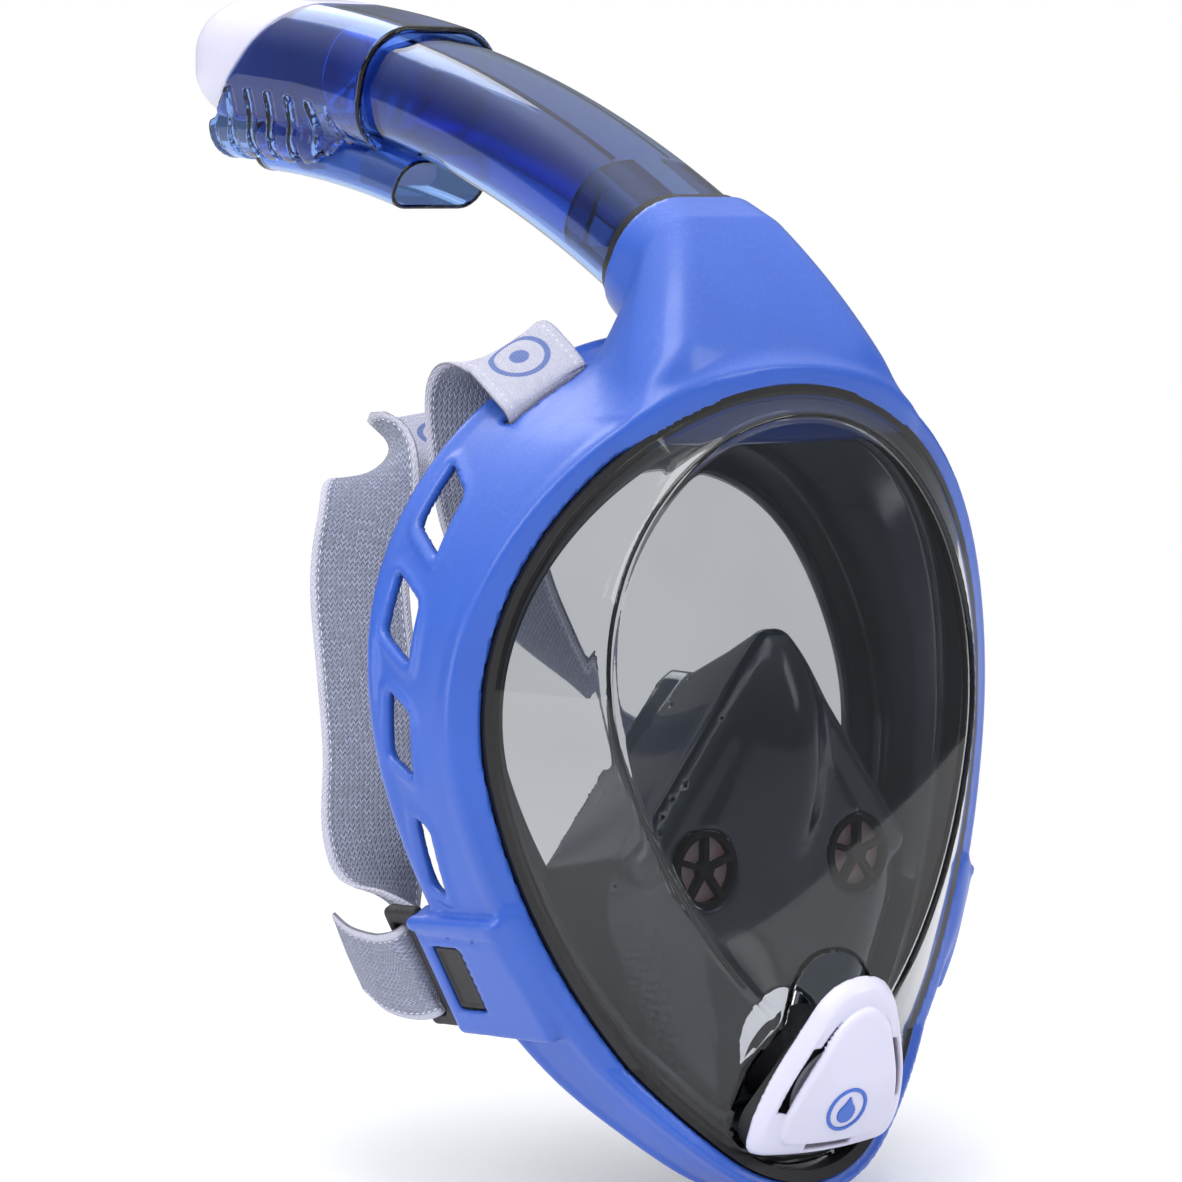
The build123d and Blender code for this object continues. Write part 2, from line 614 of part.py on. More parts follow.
with BuildPart() as float_chamber:
    add(hollow_run(CHAMBER_START, CHAMBER_END, CHAMBER_W, CHAMBER_H, 6.5, CHAMBER_WALL, CHAMBER_DROP))
    # end wall, and vents through the underside behind the float seat
    add(oval_run(CHAMBER_END - 2, CHAMBER_END, CHAMBER_W, CHAMBER_H, 6.5, CHAMBER_DROP))
    for step in range(VENT_COUNT):
        start = 178 + 2.9 * step
        vent = oval_run(start, start + 1.5, CHAMBER_W - 10, 6, 1, CHAMBER_DROP + CHAMBER_H / 2)
        add(vent, mode=Mode.SUBTRACT)
    top_port = oval_run(178, 190, CHAMBER_W - 12, 6, 1, CHAMBER_DROP - CHAMBER_H / 2)
    add(top_port, mode=Mode.SUBTRACT)
float_chamber.part.label = "float_chamber"
export_step(float_chamber.part, "parts/float_chamber.step")

SEAT_AT = 172.0
FLOAT_AT = 138.0
FLOAT_L = 18.0

with BuildPart() as mouth_seat:
    bore_w = CHAMBER_W - 2 * CHAMBER_WALL - 0.4
    bore_h = CHAMBER_H - 2 * CHAMBER_WALL - 0.4
    add(oval_run(SEAT_AT, SEAT_AT + 2.5, bore_w, bore_h, 4.6, CHAMBER_DROP))
    add(oval_run(SEAT_AT - 1, SEAT_AT + 4, 16, 6, 2.5, CHAMBER_DROP), mode=Mode.SUBTRACT)
mouth_seat.part.label = "mouth_seat"
export_step(mouth_seat.part, "parts/mouth_seat.step")

with BuildPart() as dry_float:
    with BuildSketch(tube_plane(FLOAT_AT)) as float_section:
        with Locations((0, CHAMBER_DROP)):
            RectangleRounded(bore_w - 1.6, bore_h - 1.8, 3.5)
    extrude(float_section.sketch, amount=FLOAT_L)
dry_float.part.label = "float"
export_step(dry_float.part, "parts/float.step")

with BuildPart() as float_seal:
    with BuildSketch(tube_plane(FLOAT_AT).offset(FLOAT_L)) as pad:
        with Locations((0, CHAMBER_DROP)):
            RectangleRounded(bore_w - 3, bore_h - 2.6, 3)
    extrude(pad.sketch, amount=2.0)
float_seal.part.label = "float_seal"
export_step(float_seal.part, "parts/float_seal.step")

with BuildPart() as dry_top_cap:
    add(oval_run(CAP_START - 4, 204, SLEEVE_W, SLEEVE_H, TUBE_CORNER + 2))
    with BuildSketch(tube_plane(204)) as wide:
        RectangleRounded(SLEEVE_W, SLEEVE_H, TUBE_CORNER + 2)
    with BuildSketch(tube_plane(215)) as middle:
        with Locations((0, 0.3)):
            RectangleRounded(SLEEVE_W - 1.5, SLEEVE_H - 1.5, TUBE_CORNER + 1)
    with BuildSketch(tube_plane(CAP_END)) as narrow:
        with Locations((0, 1.5)):
            RectangleRounded(SLEEVE_W - 9, SLEEVE_H - 11, 12)
    loft([wide.sketch, middle.sketch, narrow.sketch])
    add(oval_run(CAP_START - 5, 204.2, SLEEVE_W - 4.4, SLEEVE_H - 4.4, TUBE_CORNER - 0.2), mode=Mode.SUBTRACT)
    with BuildSketch(tube_plane(204)) as wide_bore:
        RectangleRounded(SLEEVE_W - 4.4, SLEEVE_H - 4.4, TUBE_CORNER - 0.2)
    with BuildSketch(tube_plane(214.5)) as middle_bore:
        with Locations((0, 0.3)):
            RectangleRounded(SLEEVE_W - 6, SLEEVE_H - 6, TUBE_CORNER - 1)
    with BuildSketch(tube_plane(CAP_END - 2.4)) as narrow_bore:
        with Locations((0, 1.5)):
            RectangleRounded(SLEEVE_W - 13.5, SLEEVE_H - 15.5, 10)
    loft([wide_bore.sketch, middle_bore.sketch, narrow_bore.sketch], mode=Mode.SUBTRACT)
    split(bisect_by=cap_joint(0.1), keep=Keep.TOP)
dry_top_cap.part.label = "dry_top_cap"
export_step(dry_top_cap.part, "parts/dry_top_cap.step")

# ---- harness clips ------------------------------------------------------------------
BUCKLE_L = 13.0
BUCKLE_T = 4.4
TONGUE_L = 24.0

for side, sign in (("right", -1), ("left", 1)):
    lug = lug_plane(sign)
    rear_end = LUG_LENGTH / 2
    with BuildPart() as clip:
        with BuildSketch(lug.offset(-2.8)) as tongue:
            with Locations((rear_end - TONGUE_L / 2 + 1, 0)):
                Rectangle(TONGUE_L + 2, POCKET_W - 2)
        extrude(tongue.sketch, amount=1.6)
        with BuildSketch(lug.offset(-3.2)) as buckle:
            with Locations((rear_end + 0.3 + BUCKLE_L / 2, 0)):
                RectangleRounded(BUCKLE_L, LUG_WIDTH, 2)
            with Locations((rear_end + 0.3 + BUCKLE_L * 0.58, 0)):
                Rectangle(5.4, STRAP_W + 1.6, mode=Mode.SUBTRACT)
        extrude(buckle.sketch, amount=BUCKLE_T)
    clip.part.label = f"strap_clip_{side}"
    export_step(clip.part, f"parts/strap_clip_{side}.step")
    with BuildPart() as latch:
        with BuildSketch(lug.offset(0.7)) as pad:
            with Locations((LATCH_AT, 0)):
                RectangleRounded(LATCH_L, LATCH_W, 1)
        extrude(pad.sketch, amount=2.6)
    latch.part.label = f"clip_latch_{side}"
    export_step(latch.part, f"parts/clip_latch_{side}.step")

# ---- head harness -------------------------------------------------------------------
# Each strap is a band through stations: its middle, and the direction of its rear edge.
# It leaves an upper slot, folds back and down, and crosses to the clip on the other side.
# Outwards, back and up from the buckle slot.
TAIL_MIDDLE = [(3.5, 8.0, -2.0), (4.5, 20.0, -1.0), (2.5, 32.0, 1.0)]


def slot_stations(sign):
    """The strap's first stations, through an upper slot and over its rear side."""
    across = (-0.875, sign * -0.085, sign * 0.478)
    return [
        ((sign * 46.6, -19.4, 103.3), across),
        ((sign * 48.9, -19.0, 107.4), across),
        ((sign * 48.5, -10.0, 113.5), across),
    ]


def buckle_stations(sign):
    """The strap's last stations: out through the buckle, then back as a hemmed tail."""
    lug = lug_plane(sign)
    outward = lug.z_dir
    upward = Vector(sign * 0.466, 0, 0.885)
    slot = lug.origin + lug.x_dir * (LUG_LENGTH / 2 + 0.3 + BUCKLE_L * 0.58)
    stations = [(slot + outward * depth, upward) for depth in (-7, -3, 2.5)]
    for out, back, up in TAIL_MIDDLE:
        stations.append((slot + outward * out + Vector(0, back, up), upward))
    return stations


STRAP_A = [
    ((-47.6, -1.2, 117.0), (-0.87, 0.10, -0.48)),
    ((-47.0, 7.0, 113.0), (-0.85, 0.35, -0.40)),
    ((-47.5, 13.0, 103.0), (-0.80, 0.55, -0.25)),
    ((-46.0, 13.0, 85.0), (-0.78, 0.62, -0.05)),
    ((-36.0, 20.0, 62.0), (-0.75, 0.60, 0.30)),
    ((-16.0, 30.0, 38.0), (-0.65, 0.60, 0.45)),
    ((12.0, 36.0, 12.0), (-0.45, 0.50, 0.70)),
    ((38.0, 34.0, -12.0), (-0.20, 0.40, 0.90)),
    ((60.0, 22.0, -32.0), (0.15, 0.20, 0.95)),
]
STRAP_B = [
    ((46.0, 2.0, 117.5), (-0.87, -0.15, 0.45)),
    ((34.0, 22.0, 114.0), (-0.85, -0.40, 0.20)),
    ((12.0, 46.0, 103.0), (-0.78, -0.55, -0.10)),
    ((-12.0, 62.0, 93.0), (-0.70, -0.55, -0.35)),
    ((-33.0, 66.0, 86.0), (-0.68, -0.45, -0.50)),
    ((-49.0, 59.0, 79.0), (-0.80, 0.10, -0.50)),
    ((-56.0, 53.0, 68.0), (-0.82, 0.55, -0.10)),
    ((-61.0, 50.0, 50.0), (-0.79, 0.62, 0.0)),
    ((-64.0, 42.4, 25.0), (-0.79, 0.62, 0.0)),
    ((-67.0, 35.4, 3.0), (-0.79, 0.62, 0.0)),
    ((-71.0, 30.0, -18.0), (-0.80, 0.50, 0.20)),
    ((-73.0, 18.0, -36.0), (-0.65, 0.25, 0.70)),
]


def strap_band(stations):
    """A flat band lofted through its stations."""
    middles = [Vector(*middle) if isinstance(middle, tuple) else middle for middle, _ in stations]
    sections = []
    for index, (_, across) in enumerate(stations):
        before = middles[max(index - 1, 0)]
        after = middles[min(index + 1, len(middles) - 1)]
        along = (after - before).normalized()
        width_dir = Vector(*across) if isinstance(across, tuple) else across
        width_dir = (width_dir - along * width_dir.dot(along)).normalized()
        with BuildSketch(Plane(origin=middles[index], x_dir=width_dir, z_dir=along)) as section:
            Rectangle(STRAP_W, STRAP_T)
        sections.append(section.sketch)
    with BuildPart() as band:
        loft(sections, ruled=True)
    return band.part


with BuildPart() as head_strap_a:
    add(strap_band(slot_stations(-1) + STRAP_A + buckle_stations(1)))
head_strap_a.part.label = "head_strap_a"
export_step(head_strap_a.part, "parts/head_strap_a.step")

with BuildPart() as head_strap_b:
    add(strap_band(slot_stations(1) + STRAP_B + buckle_stations(-1)))
head_strap_b.part.label = "head_strap_b"
export_step(head_strap_b.part, "parts/head_strap_b.step")
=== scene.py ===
"""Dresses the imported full-face snorkel mask: moulded shells, lens, silicone, snorkel and webbing."""

from __future__ import annotations

import logging
import math
from dataclasses import dataclass
from enum import Enum
from typing import Callable, Iterable, Sequence

import bmesh
import bpy
import numpy as np
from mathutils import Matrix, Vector


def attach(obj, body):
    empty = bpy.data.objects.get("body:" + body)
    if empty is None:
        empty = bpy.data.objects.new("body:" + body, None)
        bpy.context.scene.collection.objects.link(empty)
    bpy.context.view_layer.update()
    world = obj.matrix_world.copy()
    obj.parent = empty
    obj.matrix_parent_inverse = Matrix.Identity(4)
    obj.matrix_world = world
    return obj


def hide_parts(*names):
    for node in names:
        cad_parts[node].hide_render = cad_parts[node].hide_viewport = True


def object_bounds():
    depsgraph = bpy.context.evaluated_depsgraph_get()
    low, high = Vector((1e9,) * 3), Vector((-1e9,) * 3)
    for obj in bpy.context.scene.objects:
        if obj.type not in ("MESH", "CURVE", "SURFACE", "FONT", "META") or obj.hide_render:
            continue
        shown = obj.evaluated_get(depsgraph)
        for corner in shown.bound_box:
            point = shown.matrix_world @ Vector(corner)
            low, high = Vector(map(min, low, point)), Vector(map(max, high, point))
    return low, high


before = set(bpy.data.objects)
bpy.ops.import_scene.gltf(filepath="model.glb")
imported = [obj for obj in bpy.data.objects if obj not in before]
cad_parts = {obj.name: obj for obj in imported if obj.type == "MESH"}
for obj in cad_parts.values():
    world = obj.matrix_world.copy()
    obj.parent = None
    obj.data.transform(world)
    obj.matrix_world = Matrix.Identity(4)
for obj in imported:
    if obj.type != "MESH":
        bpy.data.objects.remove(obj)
CAD_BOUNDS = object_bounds()

LOG = logging.getLogger("snorkel_mask")
MM = 0.001

Array = np.ndarray
Shape = Callable[[Array, Array, Array], Array]


# ---- solid shapes from distance fields -----------------------------------------------


def smooth_max(a: Array, b: Array, radius: float) -> Array:
    """The larger of two fields, its corner rounded.

    Args:
        a: first field.
        b: second field.
        radius: how far from the corner the rounding reaches, in mm.

    Returns:
        The blended field.
    """
    h = np.clip(0.5 + 0.5 * (a - b) / radius, 0, 1)
    return b + (a - b) * h + radius * h * (1 - h)


def smooth_min(a: Array, b: Array, radius: float) -> Array:
    """The smaller of two fields, its corner filled.

    Args:
        a: first field.
        b: second field.
        radius: how far from the corner the filling reaches, in mm.

    Returns:
        The blended field.
    """
    return -smooth_max(-a, -b, radius)


def rounded_box(x: Array, y: Array, z: Array, half: Sequence[float], radius: float) -> Array:
    """Distance to a box with rounded edges.

    Args:
        x: first local coordinate.
        y: second local coordinate.
        z: third local coordinate.
        half: half sizes.
        radius: edge radius.

    Returns:
        Signed distance in mm.
    """
    qx = np.abs(x) - (half[0] - radius)
    qy = np.abs(y) - (half[1] - radius)
    qz = np.abs(z) - (half[2] - radius)
    outside = np.sqrt(np.maximum(qx, 0) ** 2 + np.maximum(qy, 0) ** 2 + np.maximum(qz, 0) ** 2)
    return outside + np.minimum(np.maximum(qx, np.maximum(qy, qz)), 0) - radius


def rounded_rect(u: Array, v: Array, half_u: float, half_v: float, radius: float) -> Array:
    """Distance to a rounded rectangle in its plane.

    Args:
        u: first plane coordinate.
        v: second plane coordinate.
        half_u: half width.
        half_v: half height.
        radius: corner radius.

    Returns:
        Signed distance in mm.
    """
    qu = np.abs(u) - (half_u - radius)
    qv = np.abs(v) - (half_v - radius)
    outside = np.sqrt(np.maximum(qu, 0) ** 2 + np.maximum(qv, 0) ** 2)
    return outside + np.minimum(np.maximum(qu, qv), 0) - radius


def polygon(u: Array, v: Array, corners: Sequence[tuple[float, float]], radius: float) -> Array:
    """Distance to a convex polygon with rounded corners.

    Args:
        u: first plane coordinate.
        v: second plane coordinate.
        corners: the corners, anticlockwise.
        radius: corner radius.

    Returns:
        Signed distance in mm, close to the outline.
    """
    result = None
    for (u0, v0), (u1, v1) in zip(corners, list(corners[1:]) + [corners[0]]):
        length = math.hypot(u1 - u0, v1 - v0)
        side = ((v1 - v0) * (u - u0) - (u1 - u0) * (v - v0)) / length
        result = side if result is None else smooth_max(result, side, radius)
    return result


def capsule(
    x: Array, y: Array, z: Array, a: Sequence[float], b: Sequence[float], ra: float, rb: float
) -> Array:
    """Distance to a tapered capsule.

    Args:
        x: first coordinate.
        y: second coordinate.
        z: third coordinate.
        a: middle of its first end.
        b: middle of its second end.
        ra: radius at the first end.
        rb: radius at the second end.

    Returns:
        Signed distance in mm.
    """
    d = np.subtract(b, a)
    t = ((x - a[0]) * d[0] + (y - a[1]) * d[1] + (z - a[2]) * d[2]) / float(d @ d)
    t = np.clip(t, 0, 1)
    dx, dy, dz = x - a[0] - t * d[0], y - a[1] - t * d[1], z - a[2] - t * d[2]
    return np.sqrt(dx**2 + dy**2 + dz**2) - (ra + (rb - ra) * t)


def ellipsoid(x: Array, y: Array, z: Array, centre: Sequence[float], radii: Sequence[float]) -> Array:
    """Approximate distance to an ellipsoid.

    Args:
        x: first coordinate.
        y: second coordinate.
        z: third coordinate.
        centre: its middle.
        radii: its three radii.

    Returns:
        Signed distance in mm, close to the surface.
    """
    px, py, pz = x - centre[0], y - centre[1], z - centre[2]
    k0 = np.sqrt((px / radii[0]) ** 2 + (py / radii[1]) ** 2 + (pz / radii[2]) ** 2)
    k1 = np.sqrt((px / radii[0] ** 2) ** 2 + (py / radii[1] ** 2) ** 2 + (pz / radii[2] ** 2) ** 2)
    return k0 * (k0 - 1) / np.maximum(k1, 1e-6)


@dataclass(frozen=True)
class Local:
    """A local frame: places shapes that are drawn about their own axes.

    Attributes:
        origin: the frame's origin in mm.
        u: unit vector of the first axis.
        v: unit vector of the second axis.
        w: unit vector of the third axis.
    """

    origin: tuple[float, float, float]
    u: tuple[float, float, float]
    v: tuple[float, float, float]
    w: tuple[float, float, float]

    def to(self, x: Array, y: Array, z: Array) -> tuple[Array, Array, Array]:
        """Local coordinates of points.

        Args:
            x: first coordinate.
            y: second coordinate.
            z: third coordinate.

        Returns:
            The coordinates along u, v and w.
        """
        px, py, pz = x - self.origin[0], y - self.origin[1], z - self.origin[2]
        return tuple(px * a[0] + py * a[1] + pz * a[2] for a in (self.u, self.v, self.w))

    def out(self, points: Array) -> Array:
        """Points of the object's frame from local ones."""
        basis = np.array([self.u, self.v, self.w])
        return np.asarray(self.origin) + points @ basis


CORNERS = np.array([[i, j, k] for i in (0, 1) for j in (0, 1) for k in (0, 1)])
CELL_EDGES = [(a, b) for a in range(8) for b in range(a + 1, 8) if np.abs(CORNERS[a] - CORNERS[b]).sum() == 1]


def net(shape: Shape, low: Sequence[float], high: Sequence[float], cell: float) -> tuple[Array, Array]:
    """Wraps a surface net round a distance field and draws it onto the exact surface.

    Args:
        shape: the field, negative inside.
        low: lowest corner of the region searched.
        high: highest corner.
        cell: grid spacing in mm.

    Returns:
        Vertices in mm and quads, outwards.
    """
    axes = [np.arange(l - cell, h + 2 * cell, cell) for l, h in zip(low, high)]
    grid = np.meshgrid(*axes, indexing="ij", sparse=True)
    values = np.broadcast_to(shape(*grid), [len(a) for a in axes]).astype(np.float32)
    inside = values < 0
    count = np.zeros([n - 1 for n in inside.shape], np.int8)
    for i, j, k in CORNERS:
        count += inside[i : i + count.shape[0], j : j + count.shape[1], k : k + count.shape[2]]
    cells = np.argwhere((count > 0) & (count < 8))
    index = np.full(count.shape, -1, np.int32)
    index[tuple(cells.T)] = np.arange(len(cells))
    corner_values = np.stack([values[tuple((cells + c).T)] for c in CORNERS], 1)
    total = np.zeros((len(cells), 3))
    hits = np.zeros(len(cells))
    for a, b in CELL_EDGES:
        va, vb = corner_values[:, a], corner_values[:, b]
        crossed = (va < 0) != (vb < 0)
        t = np.where(crossed, va / np.where(crossed, va - vb, 1), 0)
        total += crossed[:, None] * (CORNERS[a] + t[:, None] * (CORNERS[b] - CORNERS[a]))
        hits += crossed
    points = (cells + total / hits[:, None]) * cell + np.array([a[0] for a in axes])
    quads = []
    for axis in range(3):
        lower = [slice(0, -1) if n == axis else slice(1, -1) for n in range(3)]
        upper = [slice(1, None) if n == axis else slice(1, -1) for n in range(3)]
        start, end = inside[tuple(lower)], inside[tuple(upper)]
        shift = np.array([0 if n == axis else 1 for n in range(3)])
        side_a, side_b = np.eye(3, dtype=int)[(axis + 1) % 3], np.eye(3, dtype=int)[(axis + 2) % 3]
        for change, flip in ((start & ~end, False), (~start & end, True)):
            at = np.argwhere(change) + shift
            ring = [at - side_a - side_b, at - side_b, at, at - side_a]
            ids = np.stack([index[tuple(r.T)] for r in ring], 1)
            quads.append(ids[:, ::-1] if flip else ids)
    return settle(shape, points, cell), np.concatenate(quads)


def settle(shape: Shape, points: Array, cell: float, rounds: int = 3) -> Array:
    """Moves points along the field's slope onto its surface, by at most half a cell.

    Args:
        shape: the field.
        points: the points in mm.
        cell: grid spacing in mm.
        rounds: how many steps are taken.

    Returns:
        The moved points.
    """
    step = 0.05
    start = points.copy()
    for _ in range(rounds):
        x, y, z = points.T
        value = shape(x, y, z)
        slope = np.stack(
            [shape(x + step, y, z) - shape(x - step, y, z),
             shape(x, y + step, z) - shape(x, y - step, z),
             shape(x, y, z + step) - shape(x, y, z - step)], 1) / (2 * step)
        size = np.maximum((slope**2).sum(1), 0.2)
        points = points - (value / size)[:, None] * slope * 0.9
        points = start + np.clip(points - start, -0.5 * cell, 0.5 * cell)
    return points


def make_object(
    name: str, points: Array, faces: Iterable[Sequence[int]], finish: "Finish"
) -> bpy.types.Object:
    """Links a smooth-shaded mesh object, from points in mm.

    Args:
        name: the piece's name.
        points: vertices in mm.
        faces: vertex indices of each face.
        finish: the piece's material.

    Returns:
        The object, at the origin.
    """
    mesh = bpy.data.meshes.new(name)
    mesh.from_pydata((np.asarray(points) * MM).tolist(), [], [list(map(int, f)) for f in faces])
    mesh.validate()
    mesh.shade_smooth()
    obj = bpy.data.objects.new(name, mesh)
    bpy.context.scene.collection.objects.link(obj)
    mesh.materials.append(finish.material())
    return obj


def moulded(
    name: str, shape: Shape, low: Sequence[float], high: Sequence[float], cell: float,
    finish: "Finish", place: Local | SnorkelBend | None = None,
) -> bpy.types.Object:
    """A moulded piece from its distance field.

    Args:
        name: the piece's name.
        shape: its field, negative inside.
        low: lowest corner of the region searched.
        high: highest corner.
        cell: grid spacing in mm.
        finish: its material.
        place: the frame that its field is drawn in, if not the object's own.

    Returns:
        The object.
    """
    points, quads = net(shape, low, high, cell)
    if place is not None:
        points = place.out(points)
    LOG.info("%s: %d quads", name, len(quads))
    return make_object(name, points, quads.tolist(), finish)


def settle_piece(obj: bpy.types.Object, body: str, nodes: Sequence[str] = ()) -> bpy.types.Object:
    """Rides a finished piece on its body and hides the CAD nodes it stands for.

    Args:
        obj: the piece.
        body: the body that carries it.
        nodes: the CAD nodes that it replaces.

    Returns:
        The piece.
    """
    if nodes:
        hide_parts(*nodes)
    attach(obj, body)
    LOG.info("piece %s rides on %s", obj.name, body)
    return obj


# ---- shader groups and finishes ------------------------------------------------------


class Graph:
    """Short-hand for building a node tree."""

    def __init__(self, tree: bpy.types.NodeTree) -> None:
        """Args: tree: the tree that nodes are added to."""
        self.tree = tree

    def add(self, kind: str, inputs: dict | None = None, **settings: object) -> bpy.types.Node:
        """Adds a node.

        Args:
            kind: the node's type.
            inputs: values, or sockets to link, by socket name or number.
            settings: node properties.

        Returns:
            The node.
        """
        node = self.tree.nodes.new(kind)
        for key, value in settings.items():
            setattr(node, key, value)
        for key, value in (inputs or {}).items():
            if isinstance(value, bpy.types.NodeSocket):
                self.tree.links.new(value, node.inputs[key])
            else:
                node.inputs[key].default_value = value
        return node

    def math(self, operation: str, a: object, b: object = 0.0) -> bpy.types.NodeSocket:
        """A Math node's result.

        Args:
            operation: what it does.
            a: its first value or socket.
            b: its second value or socket.

        Returns:
            The result's socket.
        """
        return self.add("ShaderNodeMath", {0: a, 1: b}, operation=operation).outputs[0]

    def remap(
        self, value: object, low: float, high: float, out_low: float, out_high: float
    ) -> bpy.types.NodeSocket:
        """Maps a value from one range to another, clamped.

        Args:
            value: the value or socket.
            low: start of its range.
            high: end of its range.
            out_low: start of the new range.
            out_high: end of the new range.

        Returns:
            The result's socket.
        """
        values = {"Value": value, "From Min": low, "From Max": high, "To Min": out_low, "To Max": out_high}
        return self.add("ShaderNodeMapRange", values).outputs[0]

    def blend(self, factor: object, a: object, b: object) -> bpy.types.NodeSocket:
        """Mixes two colours.

        Args:
            factor: how much of the second.
            a: the first colour or socket.
            b: the second colour or socket.

        Returns:
            The mixed colour's socket.
        """
        return self.add("ShaderNodeMix", {0: factor, 6: a, 7: b}, data_type="RGBA").outputs[2]


def new_group(
    name: str, inputs: dict[str, str], outputs: dict[str, str]
) -> tuple[Graph, bpy.types.Node, bpy.types.Node]:
    """Starts a shader node group.

    Args:
        name: the group's name.
        inputs: socket types by input name.
        outputs: socket types by output name.

    Returns:
        Its graph, its input node and its output node.
    """
    tree = bpy.data.node_groups.new(name, "ShaderNodeTree")
    for direction, sockets in (("INPUT", inputs), ("OUTPUT", outputs)):
        for socket, kind in sockets.items():
            tree.interface.new_socket(name=socket, in_out=direction, socket_type=f"NodeSocket{kind}")
    graph = Graph(tree)
    return graph, graph.add("NodeGroupInput"), graph.add("NodeGroupOutput")


def grain_group() -> bpy.types.NodeTree:
    """Fine mould texture: a normal, a colour mottle and a roughness mask."""
    name = "mould_grain"
    if name in bpy.data.node_groups:
        return bpy.data.node_groups[name]
    graph, source, sink = new_group(
        name,
        {"Vector": "Vector", "Grain Scale": "Float", "Depth": "Float"},
        {"Normal": "Vector", "Mottle": "Float", "Wear": "Float"},
    )
    fine_inputs = {"Vector": source.outputs[0], "Scale": source.outputs[1], "Detail": 3.0}
    fine = graph.add("ShaderNodeTexNoise", fine_inputs)
    broad = graph.add("ShaderNodeTexNoise", {"Vector": source.outputs[0], "Scale": 22.0, "Detail": 2.0})
    smear = graph.add("ShaderNodeMapping", {"Vector": source.outputs[0], "Scale": (60.0, 420.0, 60.0)})
    scratch = graph.add("ShaderNodeTexNoise", {"Vector": smear.outputs[0], "Scale": 1.0, "Detail": 4.0})
    bump_inputs = {"Strength": source.outputs[2], "Distance": 0.0002, "Height": fine.outputs[0]}
    bump = graph.add("ShaderNodeBump", bump_inputs)
    graph.tree.links.new(bump.outputs[0], sink.inputs[0])
    graph.tree.links.new(graph.remap(broad.outputs[0], 0.35, 0.65, 0, 1), sink.inputs[1])
    wear = graph.math("MULTIPLY", graph.remap(scratch.outputs[0], 0.5, 0.75, 0, 1), broad.outputs[0])
    graph.tree.links.new(wear, sink.inputs[2])
    return graph.tree


def dust_group() -> bpy.types.NodeTree:
    """A film of dust on faces that look up."""
    name = "settled_dust"
    if name in bpy.data.node_groups:
        return bpy.data.node_groups[name]
    graph, source, sink = new_group(name, {"Vector": "Vector", "Amount": "Float"}, {"Dust": "Float"})
    normal = graph.add("ShaderNodeNewGeometry").outputs["Normal"]
    up = graph.add("ShaderNodeSeparateXYZ", {0: normal}).outputs[2]
    specks = graph.add("ShaderNodeTexNoise", {"Vector": source.outputs[0], "Scale": 900.0, "Detail": 2.0})
    level = graph.remap(up, 0.1, 0.95, 0, 1)
    film = graph.math("MULTIPLY", level, graph.remap(specks.outputs[0], 0.48, 0.7, 0.1, 1))
    graph.tree.links.new(graph.math("MULTIPLY", film, source.outputs[1]), sink.inputs[0])
    return graph.tree


def knit_group() -> bpy.types.NodeTree:
    """Knitted elastic from a coordinate in metres: its height, its shade and its dark gaps."""
    name = "elastic_knit"
    if name in bpy.data.node_groups:
        return bpy.data.node_groups[name]
    graph, source, sink = new_group(
        name,
        {"Vector": "Vector", "Rib Pitch": "Float", "Row Pitch": "Float"},
        {"Height": "Float", "Shade": "Float", "Gap": "Float"},
    )
    split = graph.add("ShaderNodeSeparateXYZ", {0: source.outputs[0]})
    rib = graph.math("DIVIDE", split.outputs[1], source.outputs[1])
    lean = graph.math("ABSOLUTE", graph.math("SUBTRACT", graph.math("FRACT", rib), 0.5))
    course = graph.math("DIVIDE", split.outputs[0], source.outputs[2])
    row = graph.math("ADD", course, graph.math("MULTIPLY", lean, 1.6))
    loop = graph.math("ABSOLUTE", graph.math("SUBTRACT", graph.math("FRACT", row), 0.5))
    crown = graph.math("SUBTRACT", 0.5, lean)
    swell = graph.math("SQRT", graph.math("MULTIPLY", crown, 2.0))
    height = graph.math("MULTIPLY", swell, graph.remap(loop, 0, 0.5, 1, 0.25))
    cell = graph.add("ShaderNodeCombineXYZ", {0: graph.math("FLOOR", row), 1: graph.math("FLOOR", rib)})
    speckle = graph.add("ShaderNodeTexWhiteNoise", {"Vector": cell.outputs[0]}, noise_dimensions="3D")
    chance = speckle.outputs[0]
    gap = graph.math("MULTIPLY", graph.remap(loop, 0.3, 0.42, 0, 1), graph.remap(chance, 0.35, 0.5, 0.15, 1))
    for number, value in enumerate((height, chance, gap)):
        graph.tree.links.new(value, sink.inputs[number])
    return graph.tree


class Sheen(Enum):
    """How a moulded piece's surface was left by its tool."""

    POLISHED = (0.13, 0.2)
    SATIN = (0.3, 0.5)
    SPARK = (0.52, 1.0)


@dataclass(frozen=True)
class Finish:
    """A finish: makes its material once and hands it out after that.

    Attributes:
        name: the material's name.
        colour: linear base colour.
    """

    name: str
    colour: tuple[float, float, float]

    def material(self) -> bpy.types.Material:
        """The material of this finish."""
        name = f"finish_{self.name}"
        if name in bpy.data.materials:
            return bpy.data.materials[name]
        material = bpy.data.materials.new(name)
        material.use_nodes = True
        material.diffuse_color = (*self.colour, 1)
        graph = Graph(material.node_tree)
        self.build(graph, material.node_tree.nodes["Principled BSDF"])
        return material

    def build(self, graph: Graph, shader: bpy.types.Node) -> None:
        """Adds the finish's nodes to its shader."""
        raise NotImplementedError

    def shade(self, amount: float) -> tuple[float, float, float, float]:
        """The colour, made lighter or darker by a factor."""
        return (*[min(1, c * amount) for c in self.colour], 1)


